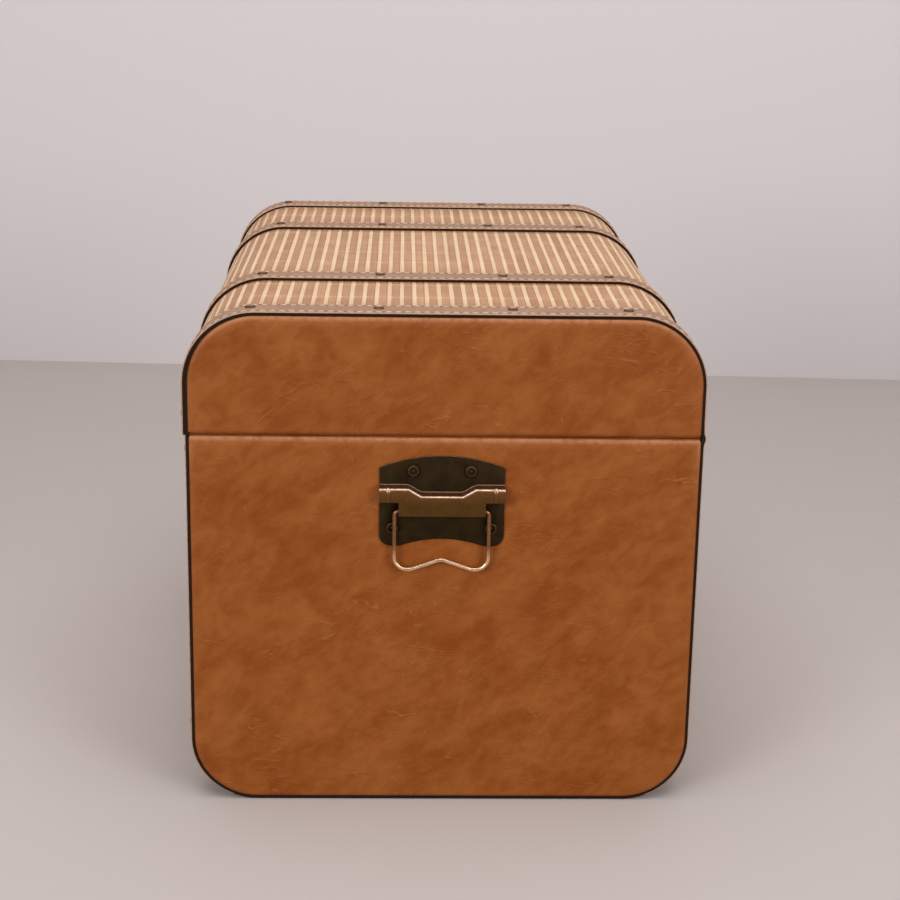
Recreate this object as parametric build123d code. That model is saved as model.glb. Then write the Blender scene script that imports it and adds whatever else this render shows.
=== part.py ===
# A storage trunk with a hinged lid: bent plywood shells under split-bamboo matting,
# padded leather ends, four leather girth bands, and a chest handle on each end.
#
# Millimetres. The origin is at the middle of the footprint, on the floor.
# +X runs along the trunk, -Y is the front, +Y is the hinged back, +Z is up.

from build123d import *
from math import cos, pi, radians, sin, tan
import os

# Overall size
trunk_length = 575.0        # over the faces of the padded ends
trunk_depth = 400.0         # over the bands
seam_height = 304.0         # floor to where lid and base meet
lid_height = 97.2           # from there to the top of the bands
seam_gap = 0.6              # clear height between lid and base
base_corner_radius = 53.0   # outer radius of the two lower long edges
lid_corner_radius = 57.0    # outer radius of the two upper long edges
lid_overhang = 2.0          # how far the lid stands out over the base at the front

# Layers, from the outside in
band_thickness = 3.0
mat_thickness = 2.0
board_thickness = 6.0
lining_thickness = 1.2
end_board_thickness = 9.0
pad_thickness = 4.0
rim_thickness = 2.0         # leather binding on the meeting edges
bottom_cloth_thickness = 1.0

# Padded ends
pad_edge_radius = 2.5
band_setback = 1.0          # the end bands stop this far behind the padded faces

# Girth bands
band_width = 30.0
inner_band_centre = 132.0   # from the middle of the trunk to the middle of an inner band

# Split-bamboo matting: narrow pale slats between wider brown ones
pale_slat_width = 3.8
brown_slat_width = 6.1
lid_first_slat = 7.1        # the brown slat along the lid's front edge
slat_groove_width = 1.0
slat_groove_depth = 0.6

# Dome-headed nails
nail_radius = 4.0
nail_height = 1.8
outer_nail_shift = 4.5      # the outer nails on top sit this far to the front of the bends' starts
inner_nail_spacing = 102.0  # across the top
nail_from_seam = 14.0
nail_from_bend = 9.0        # the lowest nails sit this far above the base's bends

# Butt hinges on the back, one between each end band and its neighbour
hinge_length = 60.0
hinge_leaf_height = 25.0
hinge_leaf_thickness = 1.4
hinge_corner_radius = 3.0
knuckle_radius = 2.7
lid_knuckle_length = 24.0
knuckle_gap = 0.3           # between neighbouring knuckles, and knuckle to leaf
hinge_pin_radius = 1.3
hinge_pin_clearance = 0.07
hinge_pin_head_radius = 2.0
hinge_pin_head_length = 1.0
hinge_screw_spacing = 21.0
hinge_screw_head_radius = 3.0
hinge_screw_head_height = 1.0
hinge_screw_radius = 1.6

# Chest handle: back plate. Heights on the handle are measured down from its crown.
handle_offset = -2.2        # the handle's middle, across the end
plate_width = 97.0
plate_thickness = 1.5
plate_below_seam = 14.0     # from the seam down to the crown of the plate
plate_crown = 9.5           # from the crown down to the tops of the sides
plate_height = 73.0
plate_notch = 5.9           # how far the middle of the lower edge is hollowed
plate_foot_width = 16.0
plate_corner_radius = 9.0
plate_toe_radius = 9.0

# Chest handle: pressed hood
hood_rise = 10.5            # how far the hood stands off the plate
hood_draft = 1.8            # how much less it stands off at its lower edge
hood_wall = 1.2
hood_drop = 23.5            # to its upper edge, at the ears
hood_dip = 5.9              # how far the upper edge dips in the middle
hood_dip_half = 16.0        # half width of the dip at its floor
hood_dip_slope = 10.0       # width of each slope of the dip
hood_ear_height = 11.5
hood_height = 22.8
hood_half_width = 33.5      # half width below the ears
hood_crest_radius = 3.0

# Chest handle: wire bail, hanging at rest
bail_wire_radius = 1.5
bail_pivot_rise = 3.1       # pivot above the hood's lower edge
bail_pivot_reach = 6.0      # from the padded face to the pivot
bail_clearance = 0.08       # wire in the hood's side holes, all round
bail_half_width = 36.6      # to the middle of the wire in a leg
bail_reach = 47.6           # pivot down to the lowest point of the wire's middle line
bail_slope = 19.4           # rise of the grip towards its middle, degrees
bail_corner_radius = 10.6
bail_peak_radius = 10.0
bail_top_radius = 3.2
bail_tail = 8.0             # wire inside the hood past its side wall

# Chest handle: screws
plate_screw_upper = 22.3    # from the handle's middle
plate_screw_upper_drop = 12.2
plate_screw_inset = 10.0    # lower screws, in from the plate's sides
plate_screw_rise = 14.8     # lower screws, up from the plate's feet
plate_screw_head_radius = 5.0
plate_screw_head_height = 2.2
plate_screw_recess_radius = 2.9
plate_screw_recess_depth = 1.2
plate_screw_radius = 2.0
plate_screw_grip = 10.0     # length of shank behind the plate
screw_clearance = 0.05

# Closing tab at the front, with a round magnetic catch
tab_width = 36.0
tab_thickness = 3.0
tab_root_height = 41.0
tab_flap_height = 43.0
tab_fold_above_seam = 5.0
tab_corner_radius = 14.0
tab_fold_gap = 0.4
tab_nail_drop = 13.0        # below the tab's upper edge
tab_nail_spacing = 18.0
catch_rise = 18.0           # above the tab's lower edge
catch_cap_radius = 7.0
catch_cap_height = 2.4
strike_radius = 6.5
strike_thickness = 1.5

# Worked out from the sizes above
trunk_height = seam_height + lid_height
half_length = trunk_length / 2
half_depth = trunk_depth / 2
mat_inset = band_thickness
shell_inset = mat_inset + mat_thickness
inner_inset = shell_inset + board_thickness
room_inset = inner_inset + lining_thickness
shell_half = half_length - pad_thickness
inside_half = shell_half - end_board_thickness
room_half = inside_half - lining_thickness
seam_low = seam_height - seam_gap / 2
seam_high = seam_height + seam_gap / 2
base_board_top = seam_low - rim_thickness
lid_board_low = seam_high + rim_thickness
lid_front = -half_depth - lid_overhang
end_band_centre = half_length - band_setback - band_width / 2
band_centres = (-end_band_centre, -inner_band_centre, inner_band_centre, end_band_centre)
hinge_centre = (end_band_centre + inner_band_centre) / 2
plate_top = seam_height - plate_below_seam
hood_top = plate_top - hood_drop
hood_low = hood_top - hood_height
hood_ear_low = hood_top - hood_ear_height
bail_pivot_height = hood_low + bail_pivot_rise
bail_lowest = bail_pivot_height - bail_reach
tab_fold = seam_height + tab_fold_above_seam
tab_low = tab_fold - tab_flap_height
catch_height = tab_low + catch_rise
cut_margin = 20.0           # how far a cutting form runs past what it cuts


def rounded_block(y_span, z_span, radius, round_top, x_span):
    # A bar along X with two long edges rounded, either the upper or the lower pair
    width = y_span[1] - y_span[0]
    height = z_span[1] - z_span[0]
    sheet = Pos(sum(y_span) / 2, sum(z_span) / 2) * Rectangle(width, height)
    corners = sheet.vertices().sort_by(Axis.Y)
    sheet = fillet(corners[-2:] if round_top else corners[:2], radius)
    return extrude(Plane.YZ.offset(x_span[0]) * sheet, x_span[1] - x_span[0])


def base_block(inset, half_x, top):
    # The base's outer form, shrunk by inset at the front, bottom and back
    side = half_depth - inset
    return rounded_block((-side, side), (inset, top), base_corner_radius - inset, False, (-half_x, half_x))


def lid_block(inset, half_x, low):
    # The lid's outer form, shrunk by inset at the front, top and back
    spans = (lid_front + inset, half_depth - inset), (low, trunk_height - inset)
    return rounded_block(*spans, lid_corner_radius - inset, True, (-half_x, half_x))


def box_between(x_span, y_span, z_span):
    size = [high - low for low, high in (x_span, y_span, z_span)]
    middle = [(high + low) / 2 for low, high in (x_span, y_span, z_span)]
    return Pos(*middle) * Box(*size)


def along(start, heading, legs, distance, depth):
    # Point on a route of straights and right-hand bends, depth inside the route.
    # A leg is (length, bend radius), with radius 0 for a straight.
    y, z = start
    for length, radius in legs:
        step = min(distance, length)
        distance -= step
        if radius:
            centre_y, centre_z = y + radius * sin(heading), z - radius * cos(heading)
            heading -= step / radius
            y, z = centre_y - radius * sin(heading), centre_z + radius * cos(heading)
        else:
            y, z = y + step * cos(heading), z + step * sin(heading)
    return y + depth * sin(heading), z - depth * cos(heading)


def slatted_sheet(start, heading, legs, half_x, first_slat):
    # A sheet along the route with a V groove between neighbouring slats,
    # thick enough that the board behind it can be cut out of it
    total = sum(length for length, _ in legs)
    edges = [0.0, first_slat]
    widths = (pale_slat_width, brown_slat_width)
    while edges[-1] + widths[len(edges) % 2] < total:
        edges.append(edges[-1] + widths[len(edges) % 2])
    half_groove = slat_groove_width / 2
    outer = [along(start, heading, legs, 0.0, 0.0)]
    for edge in edges[1:]:
        outer.append(along(start, heading, legs, edge - half_groove, 0.0))
        outer.append(along(start, heading, legs, edge, slat_groove_depth))
        if edge + half_groove < total:
            outer.append(along(start, heading, legs, edge + half_groove, 0.0))
    outer.append(along(start, heading, legs, total, 0.0))
    spare = mat_thickness * 2
    inner = [along(start, heading, legs, edge, spare) for edge in reversed(edges)]
    outer.append(along(start, heading, legs, total, spare))
    sheet = make_face(Polyline(*outer, *inner, close=True))
    return extrude(Plane.YZ.offset(-half_x) * sheet, 2 * half_x)


def dome(radius, height):
    # A low cap standing on the XY plane, rounded in four steps along a circle's arc
    ball = (radius ** 2 + height ** 2) / (2 * height)
    points = [(0, 0), (radius, 0)]
    for share in (0.8, 0.45):
        reach = radius * share
        points.append((reach, height - ball + (ball ** 2 - reach ** 2) ** 0.5))
    points.append((0, height))
    return revolve(Plane.XZ * make_face(Polyline(*points, close=True)), Axis.Z)


def facing(x, y, z, direction):
    # A place whose local +Z points along the given direction
    return Plane(origin=(x, y, z), z_dir=direction).location


def make_base():
    shell = base_block(shell_inset, shell_half, base_board_top)
    hollow = base_block(inner_inset, shell_half, base_board_top)
    save(shell - hollow, "base_shell")

    lining = base_block(inner_inset, inside_half, base_board_top)
    save(lining - base_block(room_inset, room_half, base_board_top), "base_lining")

    rim_y, rim_room_y = half_depth - shell_inset, half_depth - room_inset
    rim_z = (base_board_top, seam_low)
    rim = box_between((-shell_half, shell_half), (-rim_y, rim_y), rim_z)
    rim -= box_between((-room_half, room_half), (-rim_room_y, rim_room_y), rim_z)
    save(rim, "base_rim")

    wall = seam_low - base_corner_radius
    bend = base_corner_radius - mat_inset
    legs = ((bend * pi / 2, bend), (wall, 0.0))
    sheet = slatted_sheet((-half_depth + base_corner_radius, mat_inset), pi, legs, shell_half, brown_slat_width)
    front = sheet - base_block(shell_inset, half_length, seam_height)
    save(front, "base_front_mat")
    save(mirror(front, Plane.XZ), "base_back_mat")

    cloth_y = half_depth - base_corner_radius
    cloth_z = (shell_inset - bottom_cloth_thickness, shell_inset)
    save(box_between((-shell_half, shell_half), (-cloth_y, cloth_y), cloth_z), "base_bottom_cloth")

    for number, centre in enumerate(band_centres, 1):
        band = base_block(0.0, band_width / 2, seam_low) - base_block(mat_inset, band_width, seam_height)
        save(Pos(centre, 0, 0) * band, f"base_band_{number}")


def make_lid():
    shell = lid_block(shell_inset, shell_half, lid_board_low)
    hollow = lid_block(inner_inset, shell_half, lid_board_low)
    save(shell - hollow, "lid_shell")

    lining = lid_block(inner_inset, inside_half, lid_board_low)
    save(lining - lid_block(room_inset, room_half, lid_board_low), "lid_lining")

    rim_z = (seam_high, lid_board_low)
    rim = box_between((-shell_half, shell_half), (lid_front + shell_inset, half_depth - shell_inset), rim_z)
    rim -= box_between((-room_half, room_half), (lid_front + room_inset, half_depth - room_inset), rim_z)
    save(rim, "lid_rim")

    bend = lid_corner_radius - mat_inset
    wall = trunk_height - lid_corner_radius - seam_high
    top = trunk_depth + lid_overhang - 2 * lid_corner_radius
    quarter = (bend * pi / 2, bend)
    legs = ((wall, 0.0), quarter, (top, 0.0), quarter, (wall, 0.0))
    sheet = slatted_sheet((lid_front + mat_inset, seam_high), pi / 2, legs, shell_half, lid_first_slat)
    save(sheet - lid_block(shell_inset, half_length, seam_height), "lid_mat")

    for number, centre in enumerate(band_centres, 1):
        band = lid_block(0.0, band_width / 2, seam_high) - lid_block(mat_inset, band_width, seam_height)
        save(Pos(centre, 0, 0) * band, f"lid_band_{number}")


def handle_screw_places():
    upper = plate_screw_upper, plate_top - plate_screw_upper_drop
    lower = plate_width / 2 - plate_screw_inset, plate_top - plate_height + plate_screw_rise
    return [(handle_offset + side * across, z) for across, z in (upper, lower) for side in (-1, 1)]


def soften_face(pad):
    # Round the outer edges of a padded end
    return fillet(pad.faces().sort_by(Axis.X)[-1].edges(), pad_edge_radius)


def make_ends():
    side = half_depth - mat_inset
    pad_x = (shell_half, half_length)
    radius = base_corner_radius - mat_inset
    pad = soften_face(rounded_block((-side, side), (mat_inset, seam_low), radius, False, pad_x))
    board_side = half_depth - inner_inset
    board_radius = base_corner_radius - inner_inset
    board_x = (inside_half, shell_half)
    board = rounded_block((-board_side, board_side), (inner_inset, base_board_top), board_radius, False, board_x)
    for y, z in handle_screw_places():
        drill = facing(half_length, y, z, (1, 0, 0)) * Cylinder(
            plate_screw_radius + screw_clearance, 2 * (pad_thickness + end_board_thickness)
        )
        pad -= drill
        board -= drill
    both_sides(pad, "base_end_pad")
    both_sides(board, "base_end_board")

    radius = lid_corner_radius - mat_inset
    top_z = (seam_high, trunk_height - mat_inset)
    both_sides(soften_face(rounded_block((-side, side), top_z, radius, True, pad_x)), "lid_end_pad")
    spans = (lid_front + inner_inset, half_depth - inner_inset), (lid_board_low, trunk_height - inner_inset)
    both_sides(rounded_block(*spans, lid_corner_radius - inner_inset, True, board_x), "lid_end_board")


def make_nails():
    nail = dome(nail_radius, nail_height)
    lid_nails, base_nails = [], []
    middle = (half_depth + lid_front) / 2
    nails_across = (
        lid_front + lid_corner_radius - outer_nail_shift,
        middle - inner_nail_spacing / 2,
        middle + inner_nail_spacing / 2,
        half_depth - lid_corner_radius - outer_nail_shift,
    )
    for x in band_centres:
        for across in nails_across:
            lid_nails.append(facing(x, across, trunk_height, (0, 0, 1)) * nail)
        lid_nails.append(facing(x, lid_front, seam_height + nail_from_seam, (0, -1, 0)) * nail)
        lid_nails.append(facing(x, half_depth, seam_height + nail_from_seam, (0, 1, 0)) * nail)
        for z in (base_corner_radius + nail_from_bend, seam_height - nail_from_seam):
            base_nails.append(facing(x, -half_depth, z, (0, -1, 0)) * nail)
            base_nails.append(facing(x, half_depth, z, (0, 1, 0)) * nail)
    tab_face = lid_front + mat_inset - tab_thickness
    for side in (-1, 1):
        place = side * tab_nail_spacing / 2, tab_face, tab_fold + tab_root_height - tab_nail_drop
        lid_nails.append(facing(*place, (0, -1, 0)) * nail)
    save(Compound(children=lid_nails), "lid_nails")
    save(Compound(children=base_nails), "base_nails")


def hinge_leaf(upward, knuckle_spans):
    # One leaf on the back face, with its knuckles round the hinge line.
    # The hinge line lies in the plane of the bands' outer faces.
    leaf_back = half_depth - mat_inset
    near_edge = knuckle_radius + knuckle_gap
    sheet = Rectangle(hinge_length, hinge_leaf_height)
    far = sheet.vertices().sort_by(Axis.Y)[:2]
    sheet = fillet(far, hinge_corner_radius)
    sheet -= GridLocations(hinge_screw_spacing, 1, 3, 1) * Circle(hinge_screw_radius + screw_clearance)
    leaf = extrude(sheet, hinge_leaf_thickness)
    # Local +Y of the sheet points at the hinge line
    middle = near_edge + hinge_leaf_height / 2
    height = seam_height + middle if upward else seam_height - middle
    x_dir = (1, 0, 0) if upward else (-1, 0, 0)
    face = Plane(origin=(0, leaf_back, height), x_dir=x_dir, z_dir=(0, 1, 0))
    leaf = face * leaf
    edge = seam_height + near_edge if upward else seam_height - near_edge
    for low, high in knuckle_spans:
        web_z = (seam_height, edge) if upward else (edge, seam_height)
        leaf += box_between((low, high), (leaf_back, leaf_back + hinge_leaf_thickness), web_z)
        barrel = Cylinder(knuckle_radius, high - low)
        leaf += facing((low + high) / 2, half_depth, seam_height, (1, 0, 0)) * barrel
    bore = Cylinder(hinge_pin_radius + hinge_pin_clearance, 2 * hinge_length)
    return leaf - facing(0, half_depth, seam_height, (1, 0, 0)) * bore


def hinge_screws(upward):
    leaf_face = half_depth - mat_inset + hinge_leaf_thickness
    middle = knuckle_radius + knuckle_gap + hinge_leaf_height / 2
    height = seam_height + middle if upward else seam_height - middle
    head = dome(hinge_screw_head_radius, hinge_screw_head_height)
    shank = Pos(0, 0, -hinge_leaf_thickness / 2) * Cylinder(hinge_screw_radius, hinge_leaf_thickness)
    screw = head + shank
    across = [side * hinge_centre + step * hinge_screw_spacing for side in (-1, 1) for step in (-1, 0, 1)]
    return Compound(children=[facing(x, leaf_face, height, (0, 1, 0)) * screw for x in across])


def make_hinges():
    half_hinge = hinge_length / 2
    half_lid_knuckle = lid_knuckle_length / 2
    start = half_lid_knuckle + knuckle_gap
    base_leaf = hinge_leaf(False, ((-half_hinge, -start), (start, half_hinge)))
    lid_leaf = hinge_leaf(True, ((-half_lid_knuckle, half_lid_knuckle),))
    head = Cylinder(hinge_pin_head_radius, hinge_pin_head_length)
    pin = Cylinder(hinge_pin_radius, hinge_length)
    for side in (-1, 1):
        pin += Pos(0, 0, side * (half_hinge + hinge_pin_head_length / 2)) * head
    pin = facing(0, half_depth, seam_height, (1, 0, 0)) * pin
    for name, sign in (("left", -1), ("right", 1)):
        place = Pos(sign * hinge_centre, 0, 0)
        save(place * base_leaf, f"hinge_base_leaf_{name}")
        save(place * lid_leaf, f"hinge_lid_leaf_{name}")
        save(place * pin, f"hinge_pin_{name}")
    save(hinge_screws(False), "hinge_base_screws")
    save(hinge_screws(True), "hinge_lid_screws")


def handle_plane(reach):
    # Drawing plane parallel to the end: local x runs across, local y is the true height
    return Plane(origin=(half_length + reach, handle_offset, 0), x_dir=(0, 1, 0), z_dir=(1, 0, 0))


def make_plate():
    side = plate_width / 2
    toe = side - plate_foot_width
    foot = plate_top - plate_height
    shoulder = plate_top - plate_crown
    outline = (
        Line((-side, foot), (-side, shoulder))
        + ThreePointArc((-side, shoulder), (0, plate_top), (side, shoulder))
        + Line((side, shoulder), (side, foot))
        + Line((side, foot), (toe, foot))
        + ThreePointArc((toe, foot), (0, foot + plate_notch), (-toe, foot))
        + Line((-toe, foot), (-side, foot))
    )
    sheet = make_face(outline)
    low = sheet.vertices().sort_by(Axis.Y)[:4].sort_by(Axis.X)
    sheet = fillet((low[0], low[3]), plate_corner_radius)
    toes = [v for v in sheet.vertices() if abs(abs(v.X) - toe) < 0.01 and v.Y < shoulder]
    sheet = fillet(toes, plate_toe_radius)
    plate = extrude(handle_plane(0) * sheet, plate_thickness)
    for y, z in handle_screw_places():
        hole = Cylinder(plate_screw_radius + screw_clearance, 4 * plate_thickness)
        plate -= facing(half_length, y, z, (1, 0, 0)) * hole
    return plate


def hood_form(shrink, open_low):
    # The hood's solid form. Shrunk by a wall and left long below, it is the hood's hollow.
    side = plate_width / 2 - shrink
    half = hood_half_width - shrink
    top = hood_top - shrink
    dip = top - hood_dip
    slope = hood_dip_half + hood_dip_slope
    low = hood_low - open_low
    ear = hood_ear_low - open_low
    inner = hood_half_width if open_low else half
    points = [(-side, ear), (-side, top), (-slope, top), (-hood_dip_half, dip)]
    points += [(hood_dip_half, dip), (slope, top), (side, top), (side, ear), (inner, ear)]
    if open_low:
        points += [(inner, hood_ear_low), (half, hood_ear_low)]
    points += [(half, low), (-half, low)]
    if open_low:
        points += [(-half, hood_ear_low), (-inner, hood_ear_low)]
    points += [(-inner, ear)]
    sheet = make_face(Polyline(*points, close=True))
    rise = hood_rise - shrink
    start = plate_thickness if not open_low else plate_thickness - shrink
    body = extrude(handle_plane(start) * sheet, plate_thickness + rise - start)
    crest = [e for e in body.faces().sort_by(Axis.X)[-1].edges() if min(v.Z for v in e.vertices()) > dip - 0.01]
    body = fillet(crest, hood_crest_radius - shrink)
    outer = half_length + plate_thickness + rise
    lean = Polyline(
        (outer, hood_top - hood_crest_radius),
        (outer + cut_margin, hood_top - hood_crest_radius),
        (outer + cut_margin, low - cut_margin),
        (outer - hood_draft * (hood_top - low + cut_margin) / (hood_top - hood_low), low - cut_margin),
        close=True,
    )
    wedge = extrude(Plane.XZ * make_face(lean), plate_width, both=True)
    return body - wedge


def make_hood():
    hood = hood_form(0.0, 0.0) - hood_form(hood_wall, cut_margin / 2)
    hole = Cylinder(bail_wire_radius + bail_clearance, 4 * hood_half_width)
    pivot = Plane(
        origin=(half_length + bail_pivot_reach, handle_offset, bail_pivot_height), z_dir=(0, 1, 0)
    )
    return hood - pivot.location * hole


def make_bail():
    # Wire bent from one hooked end to the other through the grip's shallow W
    slope = radians(bail_slope)
    arc_y = bail_half_width - bail_corner_radius
    touch_y = arc_y - bail_corner_radius * sin(slope)
    touch_z = bail_lowest + bail_corner_radius * (1 - cos(slope))
    corner_z = touch_z - (bail_half_width - touch_y) * tan(slope)
    peak_z = touch_z + touch_y * tan(slope)
    tail = hood_half_width - hood_wall - bail_tail
    points = [(-tail, bail_pivot_height), (-bail_half_width, bail_pivot_height)]
    points += [(-bail_half_width, corner_z), (0, peak_z), (bail_half_width, corner_z)]
    points += [(bail_half_width, bail_pivot_height), (tail, bail_pivot_height)]
    bends = [bail_top_radius, bail_corner_radius, bail_peak_radius, bail_corner_radius, bail_top_radius]
    path = handle_plane(bail_pivot_reach) * FilletPolyline(*points, radius=bends)
    start = Plane(origin=path @ 0, z_dir=path % 0)
    return sweep(start * Circle(bail_wire_radius), path)


def make_handles():
    # One turned outline: shank, domed head, and a round hollow in its middle
    reach, top, low = plate_screw_head_radius, plate_screw_head_height, plate_thickness + plate_screw_grip
    points = [(0, -low), (plate_screw_radius, -low), (plate_screw_radius, 0), (reach, 0), (reach, top * 0.35)]
    points += [(reach * 0.85, top * 0.8), (plate_screw_recess_radius, top)]
    points += [(plate_screw_recess_radius, top - plate_screw_recess_depth), (0, top - plate_screw_recess_depth)]
    screw = revolve(Plane.XZ * make_face(Polyline(*points, close=True)), Axis.Z)
    screws = []
    for y, z in handle_screw_places():
        for side in (-1, 1):
            screws.append(facing(side * (half_length + plate_thickness), y, z, (side, 0, 0)) * screw)
    both_sides(make_plate(), "handle_plate")
    both_sides(make_hood(), "handle_hood")
    save(Compound(children=screws), "handle_screws")
    both_sides(make_bail(), "handle_bail")


def make_tab():
    outer_y = lid_front + mat_inset - tab_thickness
    half = tab_width / 2
    tab_y = (outer_y, outer_y + tab_thickness)
    save(box_between((-half, half), tab_y, (tab_fold + tab_fold_gap, tab_fold + tab_root_height)), "tab_root")

    sheet = Pos(0, (tab_low + tab_fold) / 2) * Rectangle(tab_width, tab_flap_height)
    sheet = fillet(sheet.vertices().sort_by(Axis.Y)[:2], tab_corner_radius)
    save(extrude(Plane.XZ.offset(-tab_y[1]) * sheet, tab_thickness), "closing_tab")

    cap = dome(catch_cap_radius, catch_cap_height)
    save(facing(0, outer_y, catch_height, (0, -1, 0)) * cap, "catch_cap")
    base_face = -half_depth + mat_inset
    disc = Pos(0, 0, strike_thickness / 2) * Cylinder(strike_radius, strike_thickness)
    save(facing(0, base_face, catch_height, (0, -1, 0)) * disc, "catch_strike")


def both_sides(shape, name):
    save(shape, f"{name}_right")
    save(mirror(shape, Plane.YZ), f"{name}_left")


def save(shape, name):
    os.makedirs("parts", exist_ok=True)
    solids = shape.solids()
    whole = solids[0] if len(solids) == 1 else Compound(children=list(solids))
    export_step(whole, f"parts/{name}.step")


make_base()
make_lid()
make_ends()
make_nails()
make_hinges()
make_handles()
make_tab()
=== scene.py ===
from math import cos, pi, radians, sin, tan

import bmesh
import bpy
import numpy as np
from mathutils import Matrix, Vector


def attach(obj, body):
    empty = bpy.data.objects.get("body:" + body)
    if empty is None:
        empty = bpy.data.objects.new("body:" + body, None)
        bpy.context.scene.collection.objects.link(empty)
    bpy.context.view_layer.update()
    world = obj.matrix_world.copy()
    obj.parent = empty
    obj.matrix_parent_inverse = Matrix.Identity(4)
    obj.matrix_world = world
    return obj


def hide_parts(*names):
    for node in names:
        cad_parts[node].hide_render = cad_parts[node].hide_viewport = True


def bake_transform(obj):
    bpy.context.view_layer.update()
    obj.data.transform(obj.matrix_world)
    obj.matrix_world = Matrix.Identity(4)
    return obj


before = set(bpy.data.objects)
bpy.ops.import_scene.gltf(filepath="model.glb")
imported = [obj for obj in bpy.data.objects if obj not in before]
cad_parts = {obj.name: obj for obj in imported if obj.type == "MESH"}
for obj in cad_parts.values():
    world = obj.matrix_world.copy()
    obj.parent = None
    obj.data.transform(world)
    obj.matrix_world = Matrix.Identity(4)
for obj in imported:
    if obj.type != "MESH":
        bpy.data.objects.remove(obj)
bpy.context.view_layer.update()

print("trunk: frame loaded, nodes:", len(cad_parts))

# Sizes that the pieces share, as the part has them
trunk = {
    "halfDepth": 0.200,
    "height": 0.4012,
    "seam": 0.304,
    "seamGap": 0.0006,
    "lidFront": -0.202,
    "lidRadius": 0.057,
    "baseRadius": 0.053,
    "endFace": 0.2875,
    "padThickness": 0.004,
    "bandThickness": 0.003,
    "bandWidth": 0.030,
    "bandCentres": (-0.2715, -0.132, 0.132, 0.2715),
    "handleAcross": -0.0022,
}
seamLow = trunk["seam"] - trunk["seamGap"] / 2
seamHigh = trunk["seam"] + trunk["seamGap"] / 2
sides = {"left": -1, "right": 1}


def makeRoute(start, heading, radius, *runs):
    # Straight runs with a quarter bend between each two, as legs of (length, bend radius)
    legs = [(runs[0], 0.0)]
    for run in runs[1:]:
        legs += [(radius * pi / 2, radius), (run, 0.0)]
    return {"start": start, "heading": heading, "legs": legs}


def routeLength(route):
    return sum(length for length, _ in route["legs"])


def walkRoute(route, distance, depth):
    # Straight: start + distance along the heading. Bend: the centre lies on the right, and the point
    # is centre + (radius - depth) on a circle turned by distance / radius. Depth goes to the right.
    distance, depth = np.broadcast_arrays(np.asarray(distance, float), np.asarray(depth, float))
    across, up = np.zeros(distance.shape), np.zeros(distance.shape)
    (y, z), heading, begun = route["start"], route["heading"], 0.0
    for length, radius in route["legs"]:
        here = distance >= begun - 1e-9
        local = np.clip(distance - begun, 0.0, length)
        if radius:
            centreY, centreZ = y + radius * sin(heading), z - radius * cos(heading)
            turned = heading - local / radius
            legY = centreY - (radius - depth) * np.sin(turned)
            legZ = centreZ + (radius - depth) * np.cos(turned)
            heading -= length / radius
            y, z = centreY - radius * sin(heading), centreZ + radius * cos(heading)
        else:
            legY = y + local * cos(heading) + depth * sin(heading)
            legZ = z + local * sin(heading) - depth * cos(heading)
            y, z = y + length * cos(heading), z + length * sin(heading)
        across, up = np.where(here, legY, across), np.where(here, legZ, up)
        begun += length
    return across, up


def routeGrid(route, distance, x, depth):
    # Point = (x, route point at that distance and depth), for arrays of any shape
    across, up = walkRoute(route, distance, depth)
    return np.stack(np.broadcast_arrays(x, across, up), axis=-1)


def lidRoute(inset=0.0):
    # Over the lid from the front seam to the back seam
    rise = trunk["height"] - trunk["lidRadius"] - seamHigh
    across = trunk["halfDepth"] - trunk["lidFront"] - 2 * trunk["lidRadius"]
    start = (trunk["lidFront"] + inset, seamHigh)
    return makeRoute(start, pi / 2, trunk["lidRadius"] - inset, rise, across, rise)


# The bands' outer face: over the lid, and under the base from the back seam to the front seam
baseRadius = trunk["baseRadius"]
baseRise, baseAcross = seamLow - baseRadius, 2 * trunk["halfDepth"] - 2 * baseRadius
outerRoutes = {
    "lid": lidRoute(),
    "base": makeRoute((trunk["halfDepth"], seamLow), -pi / 2, baseRadius, baseRise, baseAcross, baseRise),
}


def filletPath(corners, radii, step):
    # Straight runs between the corners, each inner corner replaced by the arc that touches both of
    # its runs: it starts radius * tan(half the turn) before the corner and is sampled evenly.
    corners = np.asarray(corners, float)
    pieces, last = [corners[:1]], corners[0]
    for before, corner, after, radius in zip(corners[:-2], corners[1:-1], corners[2:], radii):
        inward, outward = corner - before, after - corner
        inward, outward = inward / np.linalg.norm(inward), outward / np.linalg.norm(outward)
        turn = np.arccos(np.clip(inward @ outward, -1, 1))
        reach = radius * tan(turn / 2)
        start = corner - inward * reach
        side = outward - inward * (inward @ outward)
        side /= np.linalg.norm(side)
        angle = np.linspace(0, turn, max(4, int(turn * radius / step)))[:, None]
        arc = start + inward * radius * np.sin(angle) + side * radius * (1 - np.cos(angle))
        count = max(2, int(np.linalg.norm(start - last) / step))
        share = np.linspace(0, 1, count)[1:-1, None]
        pieces += [last + (start - last) * share, arc]
        last = arc[-1]
    pieces.append(corners[-1:])
    return np.vstack(pieces)


def tubeGrid(path, radius, normal, around=12, flat=1.0):
    # A tube: point = path + radius * (cos a * normal + flat * sin a * tangent x normal)
    tangent = np.gradient(path, axis=0)
    tangent /= np.linalg.norm(tangent, axis=1)[:, None]
    normal = np.broadcast_to(np.asarray(normal, float), path.shape)
    other = np.cross(tangent, normal)
    angle = np.linspace(0, 2 * pi, around, endpoint=False)[None, :, None]
    return path[:, None] + radius * (np.cos(angle) * normal[:, None] + flat * np.sin(angle) * other[:, None])


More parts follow.
